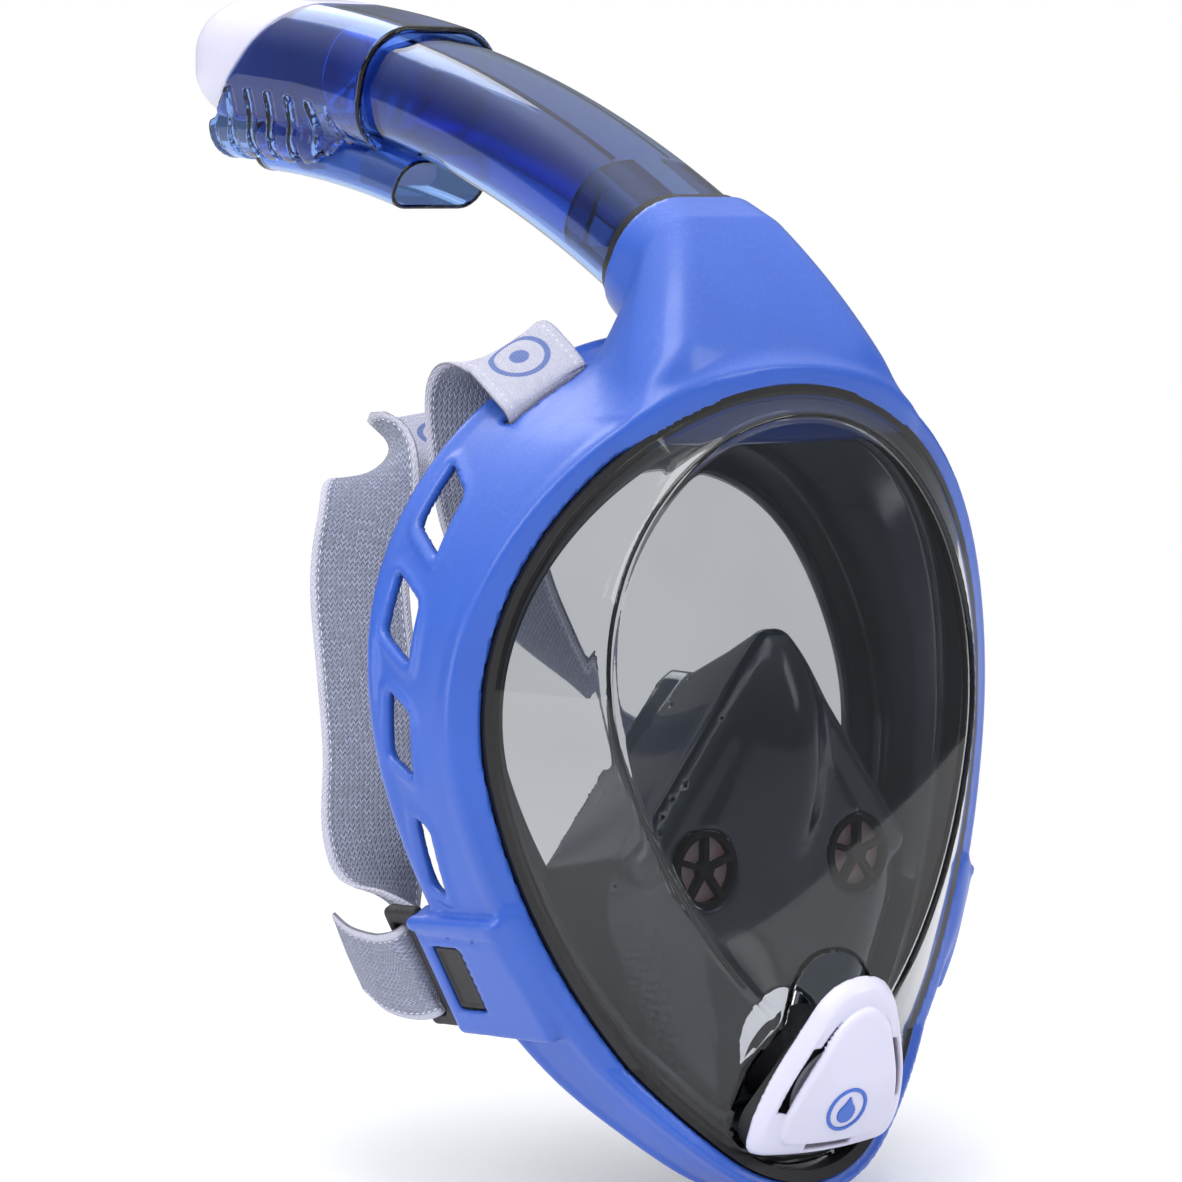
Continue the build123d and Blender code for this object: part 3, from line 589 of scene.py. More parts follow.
@dataclass(frozen=True)
class Moulded(Finish):
    """Opaque moulded plastic, rubber or silicone.

    Attributes:
        sheen: the tool's surface.
        coat: clear coat weight.
        dust: how much dust lies on upward faces.
        soft: subsurface weight, for milky silicone.
        grain: grain scale in cells per metre.
    """

    sheen: Sheen = Sheen.SATIN
    coat: float = 0.0
    dust: float = 0.05
    soft: float = 0.0
    grain: float = 2400.0

    def build(self, graph: Graph, shader: bpy.types.Node) -> None:
        """Adds grain, wear and dust."""
        roughness, depth = self.sheen.value
        place = graph.add("ShaderNodeTexCoord").outputs["Object"]
        grain = graph.add("ShaderNodeGroup", node_tree=grain_group())
        graph.tree.links.new(place, grain.inputs[0])
        grain.inputs[1].default_value = self.grain
        grain.inputs[2].default_value = depth * 0.35
        dust = graph.add("ShaderNodeGroup", node_tree=dust_group())
        graph.tree.links.new(place, dust.inputs[0])
        dust.inputs[1].default_value = self.dust
        colour = graph.blend(grain.outputs["Mottle"], self.shade(0.94), self.shade(1.05))
        colour = graph.blend(dust.outputs[0], colour, (0.6, 0.6, 0.6, 1))
        rough = graph.remap(grain.outputs["Wear"], 0, 0.5, roughness, roughness + 0.1)
        graph.tree.links.new(colour, shader.inputs["Base Color"])
        dulled = graph.math("ADD", rough, graph.math("MULTIPLY", dust.outputs[0], 0.5))
        graph.tree.links.new(dulled, shader.inputs["Roughness"])
        graph.tree.links.new(grain.outputs["Normal"], shader.inputs["Normal"])
        shader.inputs["Coat Weight"].default_value = self.coat
        shader.inputs["Coat Roughness"].default_value = 0.12
        shader.inputs["Subsurface Weight"].default_value = self.soft
        shader.inputs["Subsurface Scale"].default_value = 0.004


@dataclass(frozen=True)
class Clear(Finish):
    """Transparent moulded plastic, tinted through.

    Attributes:
        roughness: how frosted it is.
        clarity: transmission weight.
    """

    roughness: float = 0.03
    clarity: float = 1.0

    def build(self, graph: Graph, shader: bpy.types.Node) -> None:
        """Adds flow marks in the tint and fine handling marks in the gloss."""
        place = graph.add("ShaderNodeTexCoord").outputs["Object"]
        grain = graph.add("ShaderNodeGroup", node_tree=grain_group())
        graph.tree.links.new(place, grain.inputs[0])
        grain.inputs[1].default_value = 300.0
        grain.inputs[2].default_value = 0.0
        colour = graph.blend(grain.outputs["Mottle"], self.shade(0.97), self.shade(1.03))
        rough = graph.remap(grain.outputs["Wear"], 0, 0.6, self.roughness, self.roughness + 0.05)
        graph.tree.links.new(colour, shader.inputs["Base Color"])
        graph.tree.links.new(rough, shader.inputs["Roughness"])
        shader.inputs["Transmission Weight"].default_value = self.clarity
        shader.inputs["IOR"].default_value = 1.45


@dataclass(frozen=True)
class Knit(Finish):
    """Knitted elastic webbing, pale outside and heather grey inside.

    Attributes:
        inner: linear colour of the inner face.
        fleck: linear colour of the gaps between loops.
    """

    inner: tuple[float, float, float] = (0.27, 0.29, 0.39)
    fleck: tuple[float, float, float] = (0.05, 0.06, 0.12)

    def build(self, graph: Graph, shader: bpy.types.Node) -> None:
        """Adds the knit on both faces, told apart by the second texture coordinate, and the woven marks."""
        place = graph.add("ShaderNodeUVMap", uv_map="webbing").outputs[0]
        fine, coarse = {0: place, 1: 0.0009, 2: 0.0012}, {0: place, 1: 0.0014, 2: 0.0016}
        outside = graph.add("ShaderNodeGroup", fine, node_tree=knit_group())
        inside = graph.add("ShaderNodeGroup", coarse, node_tree=knit_group())
        across = graph.add("ShaderNodeSeparateXYZ", {0: place}).outputs[1]
        is_inside = graph.math("GREATER_THAN", across, 0.03)
        edge = graph.math("ABSOLUTE", graph.math("SUBTRACT", graph.math("MODULO", across, 0.04), 0.014))
        is_hem = graph.remap(edge, 0.0118, 0.0124, 0, 1)
        pale_gap = graph.math("MULTIPLY", outside.outputs["Gap"], 0.45)
        pale = graph.blend(pale_gap, self.shade(1), (*self.inner, 1))
        dim, bright = [(*[c * amount for c in self.inner], 1) for amount in (0.8, 1.25)]
        tone = graph.blend(inside.outputs["Shade"], dim, bright)
        grey = graph.blend(graph.math("MULTIPLY", inside.outputs["Gap"], 0.85), tone, (*self.fleck, 1))
        split = graph.add("ShaderNodeSeparateXYZ", {0: place}).outputs[0]
        along = graph.math("SUBTRACT", graph.math("MODULO", graph.math("ADD", split, 0.036), 0.108), 0.054)
        sideways = graph.math("SUBTRACT", across, 0.014)
        spot = graph.add("ShaderNodeCombineXYZ", {0: along, 1: sideways}).outputs[0]
        reach = graph.add("ShaderNodeVectorMath", {0: spot}, operation="LENGTH").outputs["Value"]
        ring = graph.remap(graph.math("ABSOLUTE", graph.math("SUBTRACT", reach, 0.0078)), 0.0007, 0.001, 1, 0)
        woven = graph.math("MAXIMUM", ring, graph.remap(reach, 0.0026, 0.003, 1, 0))
        pale = graph.blend(graph.math("MULTIPLY", woven, 0.85), pale, (0.05, 0.12, 0.42, 1))
        is_grey = graph.math("MULTIPLY", is_inside, graph.math("SUBTRACT", 1.0, is_hem))
        colour = graph.blend(is_grey, pale, grey)
        heights = {0: is_inside, 2: outside.outputs[0], 3: inside.outputs[0]}
        height = graph.add("ShaderNodeMix", heights).outputs[0]
        bump = graph.add("ShaderNodeBump", {"Strength": 0.8, "Distance": 0.0005, "Height": height})
        graph.tree.links.new(colour, shader.inputs["Base Color"])
        graph.tree.links.new(bump.outputs[0], shader.inputs["Normal"])
        shader.inputs["Roughness"].default_value = 0.85
        shader.inputs["Sheen Weight"].default_value = 0.25
        shader.inputs["Sheen Roughness"].default_value = 0.5


@dataclass(frozen=True)
class Paper(Finish):
    """Plain matt backdrop paper with a faint fibre, fading to the backdrop's own glow away from the mask."""

    def build(self, graph: Graph, shader: bpy.types.Node) -> None:
        """Adds the fibre's faint tone."""
        place = graph.add("ShaderNodeTexCoord").outputs["Object"]
        fibre = graph.add("ShaderNodeTexNoise", {"Vector": place, "Scale": 500.0, "Detail": 2.0})
        colour = graph.blend(fibre.outputs[0], self.shade(0.985), self.shade(1.01))
        graph.tree.links.new(colour, shader.inputs["Base Color"])
        shader.inputs["Roughness"].default_value = 0.9
        shader.inputs["Specular IOR Level"].default_value = 0.1
        reach = graph.add("ShaderNodeVectorMath", {0: place}, operation="LENGTH").outputs["Value"]
        glow = graph.add("ShaderNodeEmission", {0: (1.0, 1.0, 1.0, 1)}).outputs[0]
        fade = graph.remap(reach, 0.28, 0.75, 0, 1)
        faded = graph.add("ShaderNodeMixShader", {0: fade, 1: shader.outputs[0], 2: glow})
        graph.tree.links.new(faded.outputs[0], graph.tree.nodes["Material Output"].inputs[0])


class Finishes:
    """The finishes of the whole mask."""

    FRAME_BLUE = Moulded("frame_blue", (0.03, 0.105, 0.50), Sheen.SATIN, 0.15)
    BLACK = Moulded("black_plastic", (0.012, 0.012, 0.014), Sheen.SPARK)
    RUBBER = Moulded("black_rubber", (0.008, 0.008, 0.009), Sheen.SATIN)
    SILICONE = Moulded("skirt_silicone", (0.065, 0.085, 0.105), Sheen.POLISHED, 1.0, 0.0, 0.0, 900.0)
    PAPER = Paper("floor_paper", (0.86, 0.86, 0.87))
    MILKY = Moulded("valve_silicone", (0.72, 0.74, 0.78), Sheen.SATIN, 0.1, 0.0, 0.4)
    WHITE = Moulded("white_plastic", (0.66, 0.65, 0.80), Sheen.SATIN, 0.15, 0.03, 0.1)
    # painted shade: a near-black tube laid along the lens crease stands for the dark refraction line at the
    # fold
    CREASE_SHADE = Moulded("lens_crease_painted_shade", (0.02, 0.022, 0.026), Sheen.POLISHED)
    LENS = Clear("smoke_lens", (0.45, 0.465, 0.49), 0.01)
    TUBE_BLUE = Clear("clear_blue", (0.30, 0.50, 0.93), 0.03)
    DEEP_BLUE = Clear("deep_blue", (0.20, 0.36, 0.82), 0.03)
    WALL_BLUE = Clear("channel_blue", (0.16, 0.30, 0.72), 0.12)
    SMOKE = Clear("smoke_connector", (0.16, 0.20, 0.30), 0.05)
    WEBBING = Knit("strap_webbing", (0.56, 0.56, 0.67))
    THREAD = Moulded("hem_thread", (0.70, 0.70, 0.80), Sheen.SPARK)
    EMBLEM = Moulded("emblem_blue", (0.04, 0.13, 0.55), Sheen.SATIN)


# ---- the mask's own geometry, in mm ---------------------------------------------------


def curve_through(knots: Sequence[Sequence[float]], steps: int) -> Array:
    """Points on a smooth curve through knots.

    Args:
        knots: the knots, of any dimension.
        steps: points for each span.

    Returns:
        The points, the last knot included.
    """
    k = np.asarray(knots, float)
    k = np.vstack([2 * k[0] - k[1], k, 2 * k[-1] - k[-2]])
    t = np.linspace(0, 1, steps, endpoint=False)[:, None]
    spans = []
    for a, b, c, d in zip(k, k[1:], k[2:], k[3:]):
        bend, twist = 2 * a - 5 * b + 4 * c - d, 3 * b - a - 3 * c + d
        spans.append(0.5 * (2 * b + (c - a) * t + bend * t**2 + twist * t**3))
    return np.vstack(spans + [k[-2:-1]])


@dataclass(frozen=True)
class FaceEgg:
    """The lens rim's egg outline, of tangent arcs, and the depths of the rim and rear edge."""

    brow_r: float = 88.0
    side_r: float = 174.0
    chin_r: float = 41.0
    brow_z: float = 20.0
    drop: float = 87.0
    side_x: float = 84.563
    side_z: float = 15.655
    rear_edge: tuple = (
        (-62, -122), (-46, -97), (-33, -75), (-19.5, -32), (-9.5, 20), (-4, 60), (-4, 110), (-4, 130),
    )

    def distance(self, x: Array, z: Array) -> Array:
        """Distance outwards from the outline, seen from the front."""
        px, pz = np.abs(x), z - self.brow_z
        angle = np.arctan2(pz - self.side_z, px + self.side_x)
        top = np.hypot(px, pz) - self.brow_r
        chin = np.hypot(px, pz + self.drop) - self.chin_r
        side = np.hypot(px + self.side_x, pz - self.side_z) - self.side_r
        return np.where(angle > self.top_angle, top, np.where(angle < self.chin_angle, chin, side))

    @property
    def top_angle(self) -> float:
        """Where the brow arc meets the side arc."""
        return math.atan2(-self.side_z, self.side_x)

    @property
    def chin_angle(self) -> float:
        """Where the side arc meets the chin arc."""
        return math.atan2(-self.drop - self.side_z, self.side_x)

    def ring(self, count: int, grow: float = 0.0) -> tuple[Array, Array]:
        """Points round the outline, evenly spaced, from the brow by way of the wearer's left.

        Args:
            count: how many points.
            grow: how far outside the outline they lie, in mm.

        Returns:
            Their x and z.
        """
        arcs = [
            (0.0, self.brow_z, self.brow_r, math.pi / 2, self.top_angle),
            (-self.side_x, self.brow_z + self.side_z, self.side_r, self.top_angle, self.chin_angle),
            (0.0, self.brow_z - self.drop, self.chin_r, self.chin_angle, -math.pi / 2),
        ]
        lengths = np.array([radius * (start - end) for _, _, radius, start, end in arcs])
        ends = np.concatenate([[0], np.cumsum(lengths)])
        travel = np.arange(count) * 2 * ends[-1] / count
        half = np.where(travel > ends[-1], 2 * ends[-1] - travel, travel)
        x, z = np.zeros(count), np.zeros(count)
        for number, (cx, cz, radius, start, _) in enumerate(arcs):
            here = (half >= ends[number]) & (half <= ends[number + 1])
            angle = start - (half[here] - ends[number]) / radius
            x[here] = cx + (radius + grow) * np.cos(angle)
            z[here] = cz + (radius + grow) * np.sin(angle)
        return np.where(travel > ends[-1], -x, x), z

    def rim(self, x: Array, z: Array) -> Array:
        """Depth of the rim, which wraps back round the face and leans out at the chin."""
        wrapped = 124.0 - np.sqrt(np.maximum(190.0**2 - x**2, 1.0))
        return wrapped + 0.30 * np.minimum(z + 74.0, 0)

    def rear(self, z: Array) -> Array:
        """Depth of the frame's rear edge at a height."""
        line = curve_through([(b, a) for a, b in self.rear_edge], 12)
        return np.interp(z, line[:, 0], line[:, 1])


EGG = FaceEgg()


@dataclass(frozen=True)
class SnorkelBend:
    """Bent coordinates of the snorkel: across, down from its centreline, and along it."""

    radius: float = 440.0
    tilt: float = math.radians(30)
    centre_y: float = 201.5
    centre_z: float = -239.051

    def out(self, points: Array) -> Array:
        """Points of the object's frame, from across, down and along."""
        across, down, along = np.asarray(points, float).T
        angle = self.tilt - along / self.radius
        reach = self.radius - down
        y, z = self.centre_y - reach * np.sin(angle), self.centre_z + reach * np.cos(angle)
        return np.stack([across, y, z], 1)


BEND = SnorkelBend()
SINE, COSINE = math.sin(BEND.tilt), math.cos(BEND.tilt)
SOCKET = Local((0, -18.5, 142.0), (1, 0, 0), (0, SINE, -COSINE), (0, COSINE, SINE))
PURGE = Local((0, -84.0, -77.5), (1, 0, 0), (0, -0.3681, 0.9298), (0, -0.9298, -0.3681))


def lug_place(sign: int) -> Local:
    """Local frame of a side lug: backwards, up the face, outwards."""
    return Local((sign * 76.8, -32.0, -49.2), (sign * 0.0938, 0.9944, -0.0494), (sign * 0.466, 0, 0.885),
                 (sign * 0.880, -0.106, -0.463))


@dataclass(frozen=True)
class FrameShell:
    """The blue frame: side walls with windows, brow socket and lugs, in one moulding."""

    wall: float = 2.6
    cell: float = 1.15
    windows: tuple = (
        (-17.4, 74.7, 11.5, 16.0), (-17.3, 46.5, 11.0, 16.0),
        (-20.7, 15.9, 8.0, 17.0), (-25.2, -17.0, 4.5, 18.0),
    )

    def window_field(self, y: Array, z: Array) -> Array:
        """Distance to the nearest of the slanted side windows, seen from the side."""
        result = None
        for wy, wz, width, height in self.windows:
            slanted = z - wz - 0.65 * (y - wy)
            hole = rounded_rect(y - wy, slanted, width / 2 + 0.3, height / 2 + 0.3, 1.7) * 0.9
            result = hole if result is None else np.minimum(result, hole)
        return result

    def socket(self, x: Array, y: Array, z: Array) -> Array:
        """The brow's flared snorkel socket, a filled body whose sections turn from brow to mouth."""
        t = 1.0 + 0 * (y + z)
        knots = (0, 1, 2)
        for _ in range(6):
            oy, oz = np.interp(t, knots, (-39.0, -28.9, -18.5)), np.interp(t, knots, (99.0, 136.0, 142.0))
            tilt = np.interp(t, knots, (0.1, 1.047, 1.047))
            ahead = (y - oy) * np.sin(tilt) + (z - oz) * np.cos(tilt)
            t = np.clip(t + 0.7 * ahead / np.interp(t, (0, 1, 2), (38, 25, 12)), 0, 2)
        v = (y - oy) * np.cos(tilt) - (z - oz) * np.sin(tilt)
        half_x, half_y = np.interp(t, knots, (49, 25.6, 25.4)), np.interp(t, knots, (29, 19.6, 19.3))
        corner = np.interp(t, knots, (15, 14, 16.8))
        body = rounded_rect(x, v, half_x, half_y, corner) * 0.85
        _, _, w = SOCKET.to(x, y, z)
        return smooth_max(body, np.maximum(w, 92 - z), 1.5)

    def field(self, x: Array, y: Array, z: Array) -> Array:
        """Signed distance of the whole moulding."""
        px = np.abs(x)
        e = EGG.distance(x, z)
        rim, rear = EGG.rim(x, z), EGG.rear(z)
        grow = 4 + (y + 80) / 80 * 8.5
        side = np.clip((px - 45) / 10, 0, 1)
        holes = self.window_field(y, z)
        raised = 0.7 * np.exp(-(((holes - 1.6) / 1.2) ** 2)) * side
        bezel = 0.45 / (1 + np.exp(np.clip((y - rim - 6.0) / 2.0, -30, 30)))
        outer = e - grow - raised + bezel
        bead = np.hypot(e - grow + 1.6, y - rear + 2.4) - 2.3
        shell = smooth_max(outer, -(e - grow + self.wall), 0.6)
        shell = smooth_max(shell, y - rear, 1.2)
        shell = smooth_min(shell, bead, 1.5)
        shell = smooth_max(shell, rim - y, 1.6)
        lip = smooth_max(np.maximum(outer, 0.2 - e), np.maximum(rim - y, y - rim - 3.2), 1.0)
        shell = smooth_min(shell, lip, 0.8)
        body = smooth_max(self.socket(x, y, z), rim - y + 0.3, 4)
        shell = smooth_min(shell, body, 5)
        lug = lug_place(1)
        a, b, c = lug.to(px, y, z)
        block = smooth_max(rounded_box(a, b, c + 0.3, (19, 19, 4.3), 2.0), rim - y - 0.5, 2)
        ridge = capsule(a, b, c, (-13, 17.0, 1.6), (18, 17.0, 3.0), 1.8, 2.0)
        shell = smooth_min(shell, smooth_min(block, ridge, 0.8), 2.5)
        groove = np.hypot(b - 13.2, (c - 4.3) * 1.2) - 1.0
        shell = smooth_max(shell, -np.maximum(groove, np.abs(a - 1) - 16), 0.6)
        u, v, w = SOCKET.to(x, y, z)
        bore = np.maximum(rounded_rect(u, v, 23.1, 17.1, 15.5), np.maximum(-12.2 - w, w - 6))
        core = np.maximum(rounded_rect(u, v, 20, 13.5, 9), np.maximum(-17.5 - w, w - 6))
        airway = np.maximum(rounded_rect(x, y + 32, 17, 8, 5), np.maximum(90 - z, z - 132))
        shell = smooth_max(shell, -np.minimum(np.minimum(bore, core), airway), 0.6)
        pocket = rounded_box(a - 7.5, b, c + 0.5, (15.5, 16, 2.5), 0.8)
        latch = rounded_box(a - 8.5, b, c - 3, (5.65, 10.4, 4), 0.8)
        shell = smooth_max(shell, -np.minimum(pocket, latch), 0.5)
        shell = smooth_max(shell, -np.maximum(holes, 45 - px), 0.7)
        slot = Local((47.6, -19.4, 104.6), (-0.875, -0.085, 0.478), (0.074, -0.997, -0.042), (0.49, 0, 0.872))
        a, b, c = slot.to(px, y, z)
        return smooth_max(shell, -np.maximum(rounded_rect(a, b, 15, 2.5, 2), np.abs(c) - 7), 0.7)

    def build(self) -> bpy.types.Object:
        """Makes the frame."""
        low, high = (-100.5, -95, -115), (100.5, 5, 162)
        obj = moulded("frame_moulding", self.field, low, high, self.cell, Finishes.FRAME_BLUE)
        return settle_piece(obj, "mask", ["frame"])


def skin(name: str, rows: Sequence[Array], finish: Finish, closed: bool = False) -> bpy.types.Object:
    """A closed mesh through rows of points, each row a loop.

    Args:
        name: the piece's name.
        rows: loops with the same number of points.
        finish: its material.
        closed: whether the last row joins the first; if not, the ends are capped.

    Returns:
        The object, its faces turned outwards.
    """
    count = len(rows[0])
    points = np.concatenate(rows)
    faces = []
    last = len(rows) if closed else len(rows) - 1
    for r in range(last):
        here, there = r * count, ((r + 1) % len(rows)) * count
        for i in range(count):
            j = (i + 1) % count
            faces.append((here + i, here + j, there + j, there + i))
    if not closed:
        for start, flip in ((0, 1), ((len(rows) - 1) * count, -1)):
            hub = len(points)
            points = np.vstack([points, points[start : start + count].mean(0)])
            for i in range(count):
                j = (i + 1) % count
                faces.append((hub, start + j, start + i)[::flip])
    obj = make_object(name, points, faces, finish)
    shape = bmesh.new()
    shape.from_mesh(obj.data)
    bmesh.ops.recalc_face_normals(shape, faces=shape.faces)
    shape.to_mesh(obj.data)
    shape.free()
    obj.data.shade_smooth()
    return obj


def cut(obj: bpy.types.Object, tool: bpy.types.Object) -> None:
    """Cuts one closed mesh out of another and removes the tool."""
    modifier = obj.modifiers.new("cut", "BOOLEAN")
    modifier.operation, modifier.solver, modifier.object = "DIFFERENCE", "EXACT", tool
    bake(obj)
    bpy.data.objects.remove(tool)


def bake(obj: bpy.types.Object) -> None:
    """Puts an object's modifiers into its mesh and removes them."""
    bpy.context.view_layer.update()
    result = bpy.data.meshes.new_from_object(obj.evaluated_get(bpy.context.evaluated_depsgraph_get()))
    obj.modifiers.clear()
    old, obj.data = obj.data, result
    bpy.data.meshes.remove(old)


@dataclass(frozen=True)
class Lens:
    """The smoked lens: a bowed pane inside a band that slopes back to the rim."""

    wall: float = 2.6
    inset: float = 1.8
    band_slope: float = 0.62
    crease: float = 1.1
    line_radius: float = 0.55
    line_low: float = -52.0
    around: int = 300
    rows: int = 104

    def pane(self, x: Array, z: Array) -> Array:
        """Depth of the bowed pane, carried on past its edge."""
        return -78 + 0.09 * (z - 20) + 8 * (x / 63) ** 2

    def band(self, x: Array, z: Array) -> Array:
        """Depth of the band that slopes back to the rim."""
        return EGG.rim(x, z) - 1.8 + self.band_slope * (EGG.distance(x, z) + 3.2)

    def front(self, x: Array, z: Array, bead: float = 0.9) -> Array:
        """Depth of the outer surface.

        Args:
            x: across.
            z: up.
            bead: height of the bead along the crease, in mm.

        Returns:
            The depth in mm.
        """
        pane, band = self.pane(x, z), self.band(x, z)
        chin = -84 - 0.396 * (z + 77.5) + 3.2
        bead = bead * np.exp(-(((pane - band) / 0.6) ** 2)) * np.clip((z + 62) / 12, 0, 1)
        return smooth_max(smooth_max(pane, band, self.crease), chin, 2.5) - bead

    def opening(self, u: Array, v: Array, w: Array) -> Array:
        """Signed distance of the plug that cuts the purge opening."""
        return np.maximum(purge_outline(u, v, 0.2), np.abs(w + 5) - 12)

    def build(self) -> bpy.types.Object:
        """Makes the lens and cuts the purge opening."""
        rim_x, rim_z = EGG.ring(self.around, -self.inset)
        in_x, in_z = EGG.ring(self.around, -self.inset - self.wall)
        share = 1 - (1 - np.linspace(0.012, 1, self.rows)) ** 1.35
        outside, inside = [], []
        for f in share:
            x, z = f * rim_x, 6 + f * (rim_z - 6)
            outside.append(np.stack([x, self.front(x, z), z], 1))
            x, z = f * in_x, 6 + f * (in_z - 6)
            slope_x = self.front(x + 0.5, z, 0) - self.front(x - 0.5, z, 0)
            slope_z = self.front(x, z + 0.5, 0) - self.front(x, z - 0.5, 0)
            thick = self.wall * np.minimum(np.sqrt(1 + slope_x**2 + slope_z**2), 1.7)
            inside.append(np.stack([x, self.front(x, z, 0) + thick, z], 1))
        back = EGG.rim(rim_x, rim_z) + 4.4
        rows = outside + [np.stack([rim_x, back, rim_z], 1), np.stack([in_x, back, in_z], 1)] + inside[::-1]
        obj = skin("lens_pane", rows, Finishes.LENS)
        tool = moulded("lens_hole", self.opening, (-33, -30, -18), (33, 40, 8), 1.0, Finishes.LENS, PURGE)
        cut(obj, tool)
        self.painted_crease_shade_line()
        return settle_piece(obj, "mask", ["visor"])

    def painted_crease_shade_line(self) -> bpy.types.Object:
        """Makes a near-black tube along the edge between pane and band, down to the cheeks: painted shade for
        the dark refraction line at the crease.
        """
        rim_x, rim_z = EGG.ring(self.around, -self.inset)
        share = np.linspace(0.5, 0.985, 160)[:, None]
        x, z = share * rim_x, 6 + share * (rim_z - 6)
        gap = np.abs(self.pane(x, z) - self.band(x, z))
        best, column = gap.argmin(0), np.arange(self.around)
        line = np.stack([x[best, column], self.front(x, z, 0)[best, column] + 0.5, z[best, column]], 1)
        line = np.roll(line, self.around // 2, 0)
        line = line[line[:, 2] > self.line_low]
        for _ in range(4):
            line[1:-1] = (line[:-2] + 2 * line[1:-1] + line[2:]) / 4
        turn = np.linspace(0, 2 * np.pi, 8, endpoint=False)
        along = np.gradient(line, axis=0)
        along /= np.linalg.norm(along, axis=1, keepdims=True)
        side = np.cross(along, [0.0, 1.0, 0.0])
        side /= np.linalg.norm(side, axis=1, keepdims=True)
        over = np.cross(along, side)
        cosine, sine = np.cos(turn), np.sin(turn)
        circles = [np.outer(cosine, a) + np.outer(sine, b) for a, b in zip(side, over)]
        rows = [middle + self.line_radius * circle for middle, circle in zip(line, circles)]
        return settle_piece(skin("lens_crease_painted_shade", rows, Finishes.CREASE_SHADE), "mask")


def purge_outline(u: Array, v: Array, grow: float = 0.0) -> Array:
    """Distance to the purge valve's rounded triangle, in its own plane."""
    corners = [(-33.0, -20.5), (0.0, -25.2), (33.0, -20.5), (10.0, 30.5), (-10.0, 30.5)]
    return smooth_max(polygon(u, v, corners, 9.0), np.abs(u) - 26.0, 6.0) - grow


@dataclass(frozen=True)
class Skirt:
    """The silicone skirt: a thin wall behind the lens that turns in to a sealing lip."""

    wall: float = 1.1
    around: int = 220
    profile: tuple = (
        (-9.2, 0.0), (-9.6, 0.3), (-9.8, 0.6), (-10.2, 0.85),
        (-12.5, 0.99), (-16.5, 1.05), (-21, 1.02), (-25.5, 0.93),
    )

    def build(self) -> bpy.types.Object:
        """Makes the skirt from its profile of insets and shares of its depth, swept round the egg."""
        base_x, base_z = EGG.ring(self.around)
        rim, rear = EGG.rim(base_x, base_z) + 4.8, EGG.rear(base_z) - 3.2
        stations = []
        for inset, share in self.profile:
            x, z = EGG.ring(self.around, inset)
            span = np.maximum(rear - rim, 6)
            depth = rim + span * min(share, 0.85) + (share > 0.85) * np.minimum(span, 40) * (share - 0.85)
            stations.append(np.stack([x, np.minimum(depth, rear - 0.4 + 0.2 * share), z], 1))
        middle = np.stack(stations, 0)
        smooth = np.stack([curve_through(middle[:, i], 4) for i in range(self.around)], 1)
        slope = np.gradient(smooth, axis=0)
        around = np.roll(smooth, -1, 1) - np.roll(smooth, 1, 1)
        normal = np.cross(slope, around)
        normal /= np.linalg.norm(normal, axis=2, keepdims=True)
        rows = [smooth + normal * self.wall, (smooth - normal * self.wall)[::-1]]
        obj = skin("skirt_silicone", list(np.concatenate(rows)), Finishes.SILICONE, closed=True)
        return settle_piece(obj, "mask", ["face_skirt"])


@dataclass(frozen=True)
class NosePocket:
    """The oral-nasal pocket: a soft three-cornered cup with a nose dome and two inlet holes."""

    wall: float = 1.9
    cell: float = 1.15
    sections: tuple = (
        (-62.0, 36.0, 42.0, -26.0, 22.0, -88.0),
        (-50.0, 38.0, 54.0, -28.0, 27.0, -92.0),
        (-24.0, 26.0, 58.0, -30.0, 26.0, -78.0),
    )

    def outer(self, x: Array, y: Array, z: Array) -> Array:
        """Distance to the filled cup."""
        depths = [s[0] for s in self.sections]
        apex, sx, sz, cx, cz = [np.interp(y, depths, [s[n] for s in self.sections]) for n in range(1, 6)]
        px = np.abs(x)
        upper_u, upper_v = sx - 3, sz - apex
        upper = ((px - 3) * -upper_v + (z - apex) * upper_u) / np.hypot(upper_u, upper_v)
        lower_u, lower_v = cx - sx, cz - sz
        lower = ((px - sx) * -lower_v + (z - sz) * lower_u) / np.hypot(lower_u, lower_v)
        shape = smooth_max(smooth_max(upper, lower, 12), np.maximum(cz - z, z - apex - 1), 4)
        shape = smooth_max(shape, -62.5 - y, 9)
        nose = ellipsoid(x, y, z, (0, -56, 6), (12, 15, 28))
        ridge = capsule(px, y, z, (1, -56.5, 36), (42, -55, -20), 5.0, 6.0)
        cheeks = smooth_min(shape, ridge, 3)
        return smooth_min(cheeks, nose, 9)

    def field(self, x: Array, y: Array, z: Array) -> Array:
        """Signed distance of the cup's wall."""
        outer = self.outer(x, y, z)
        wall = smooth_max(outer, -(outer + self.wall), 0.4)
        wall = np.maximum(wall, y - EGG.rear(z) + 5.8)
        wall = smooth_max(wall, EGG.distance(x, z) + 11.6, 0.6)
        px = np.abs(x)
        inlet = np.maximum(np.hypot(px - 27, z + 22) - 10.7, y + 50)
        u, v, w = PURGE.to(x, y, z)
        duct = np.maximum(np.hypot(u, v + 4) - 14.7, -60 - w)
        return np.maximum(wall, -np.minimum(inlet, duct))

    def build(self) -> bpy.types.Object:
        """Makes the pocket."""
        obj = moulded("nose_cup", self.field, (-64, -73, -93), (64, -10, 54), self.cell, Finishes.SILICONE)
        return settle_piece(obj, "mask", ["nose_pocket"])


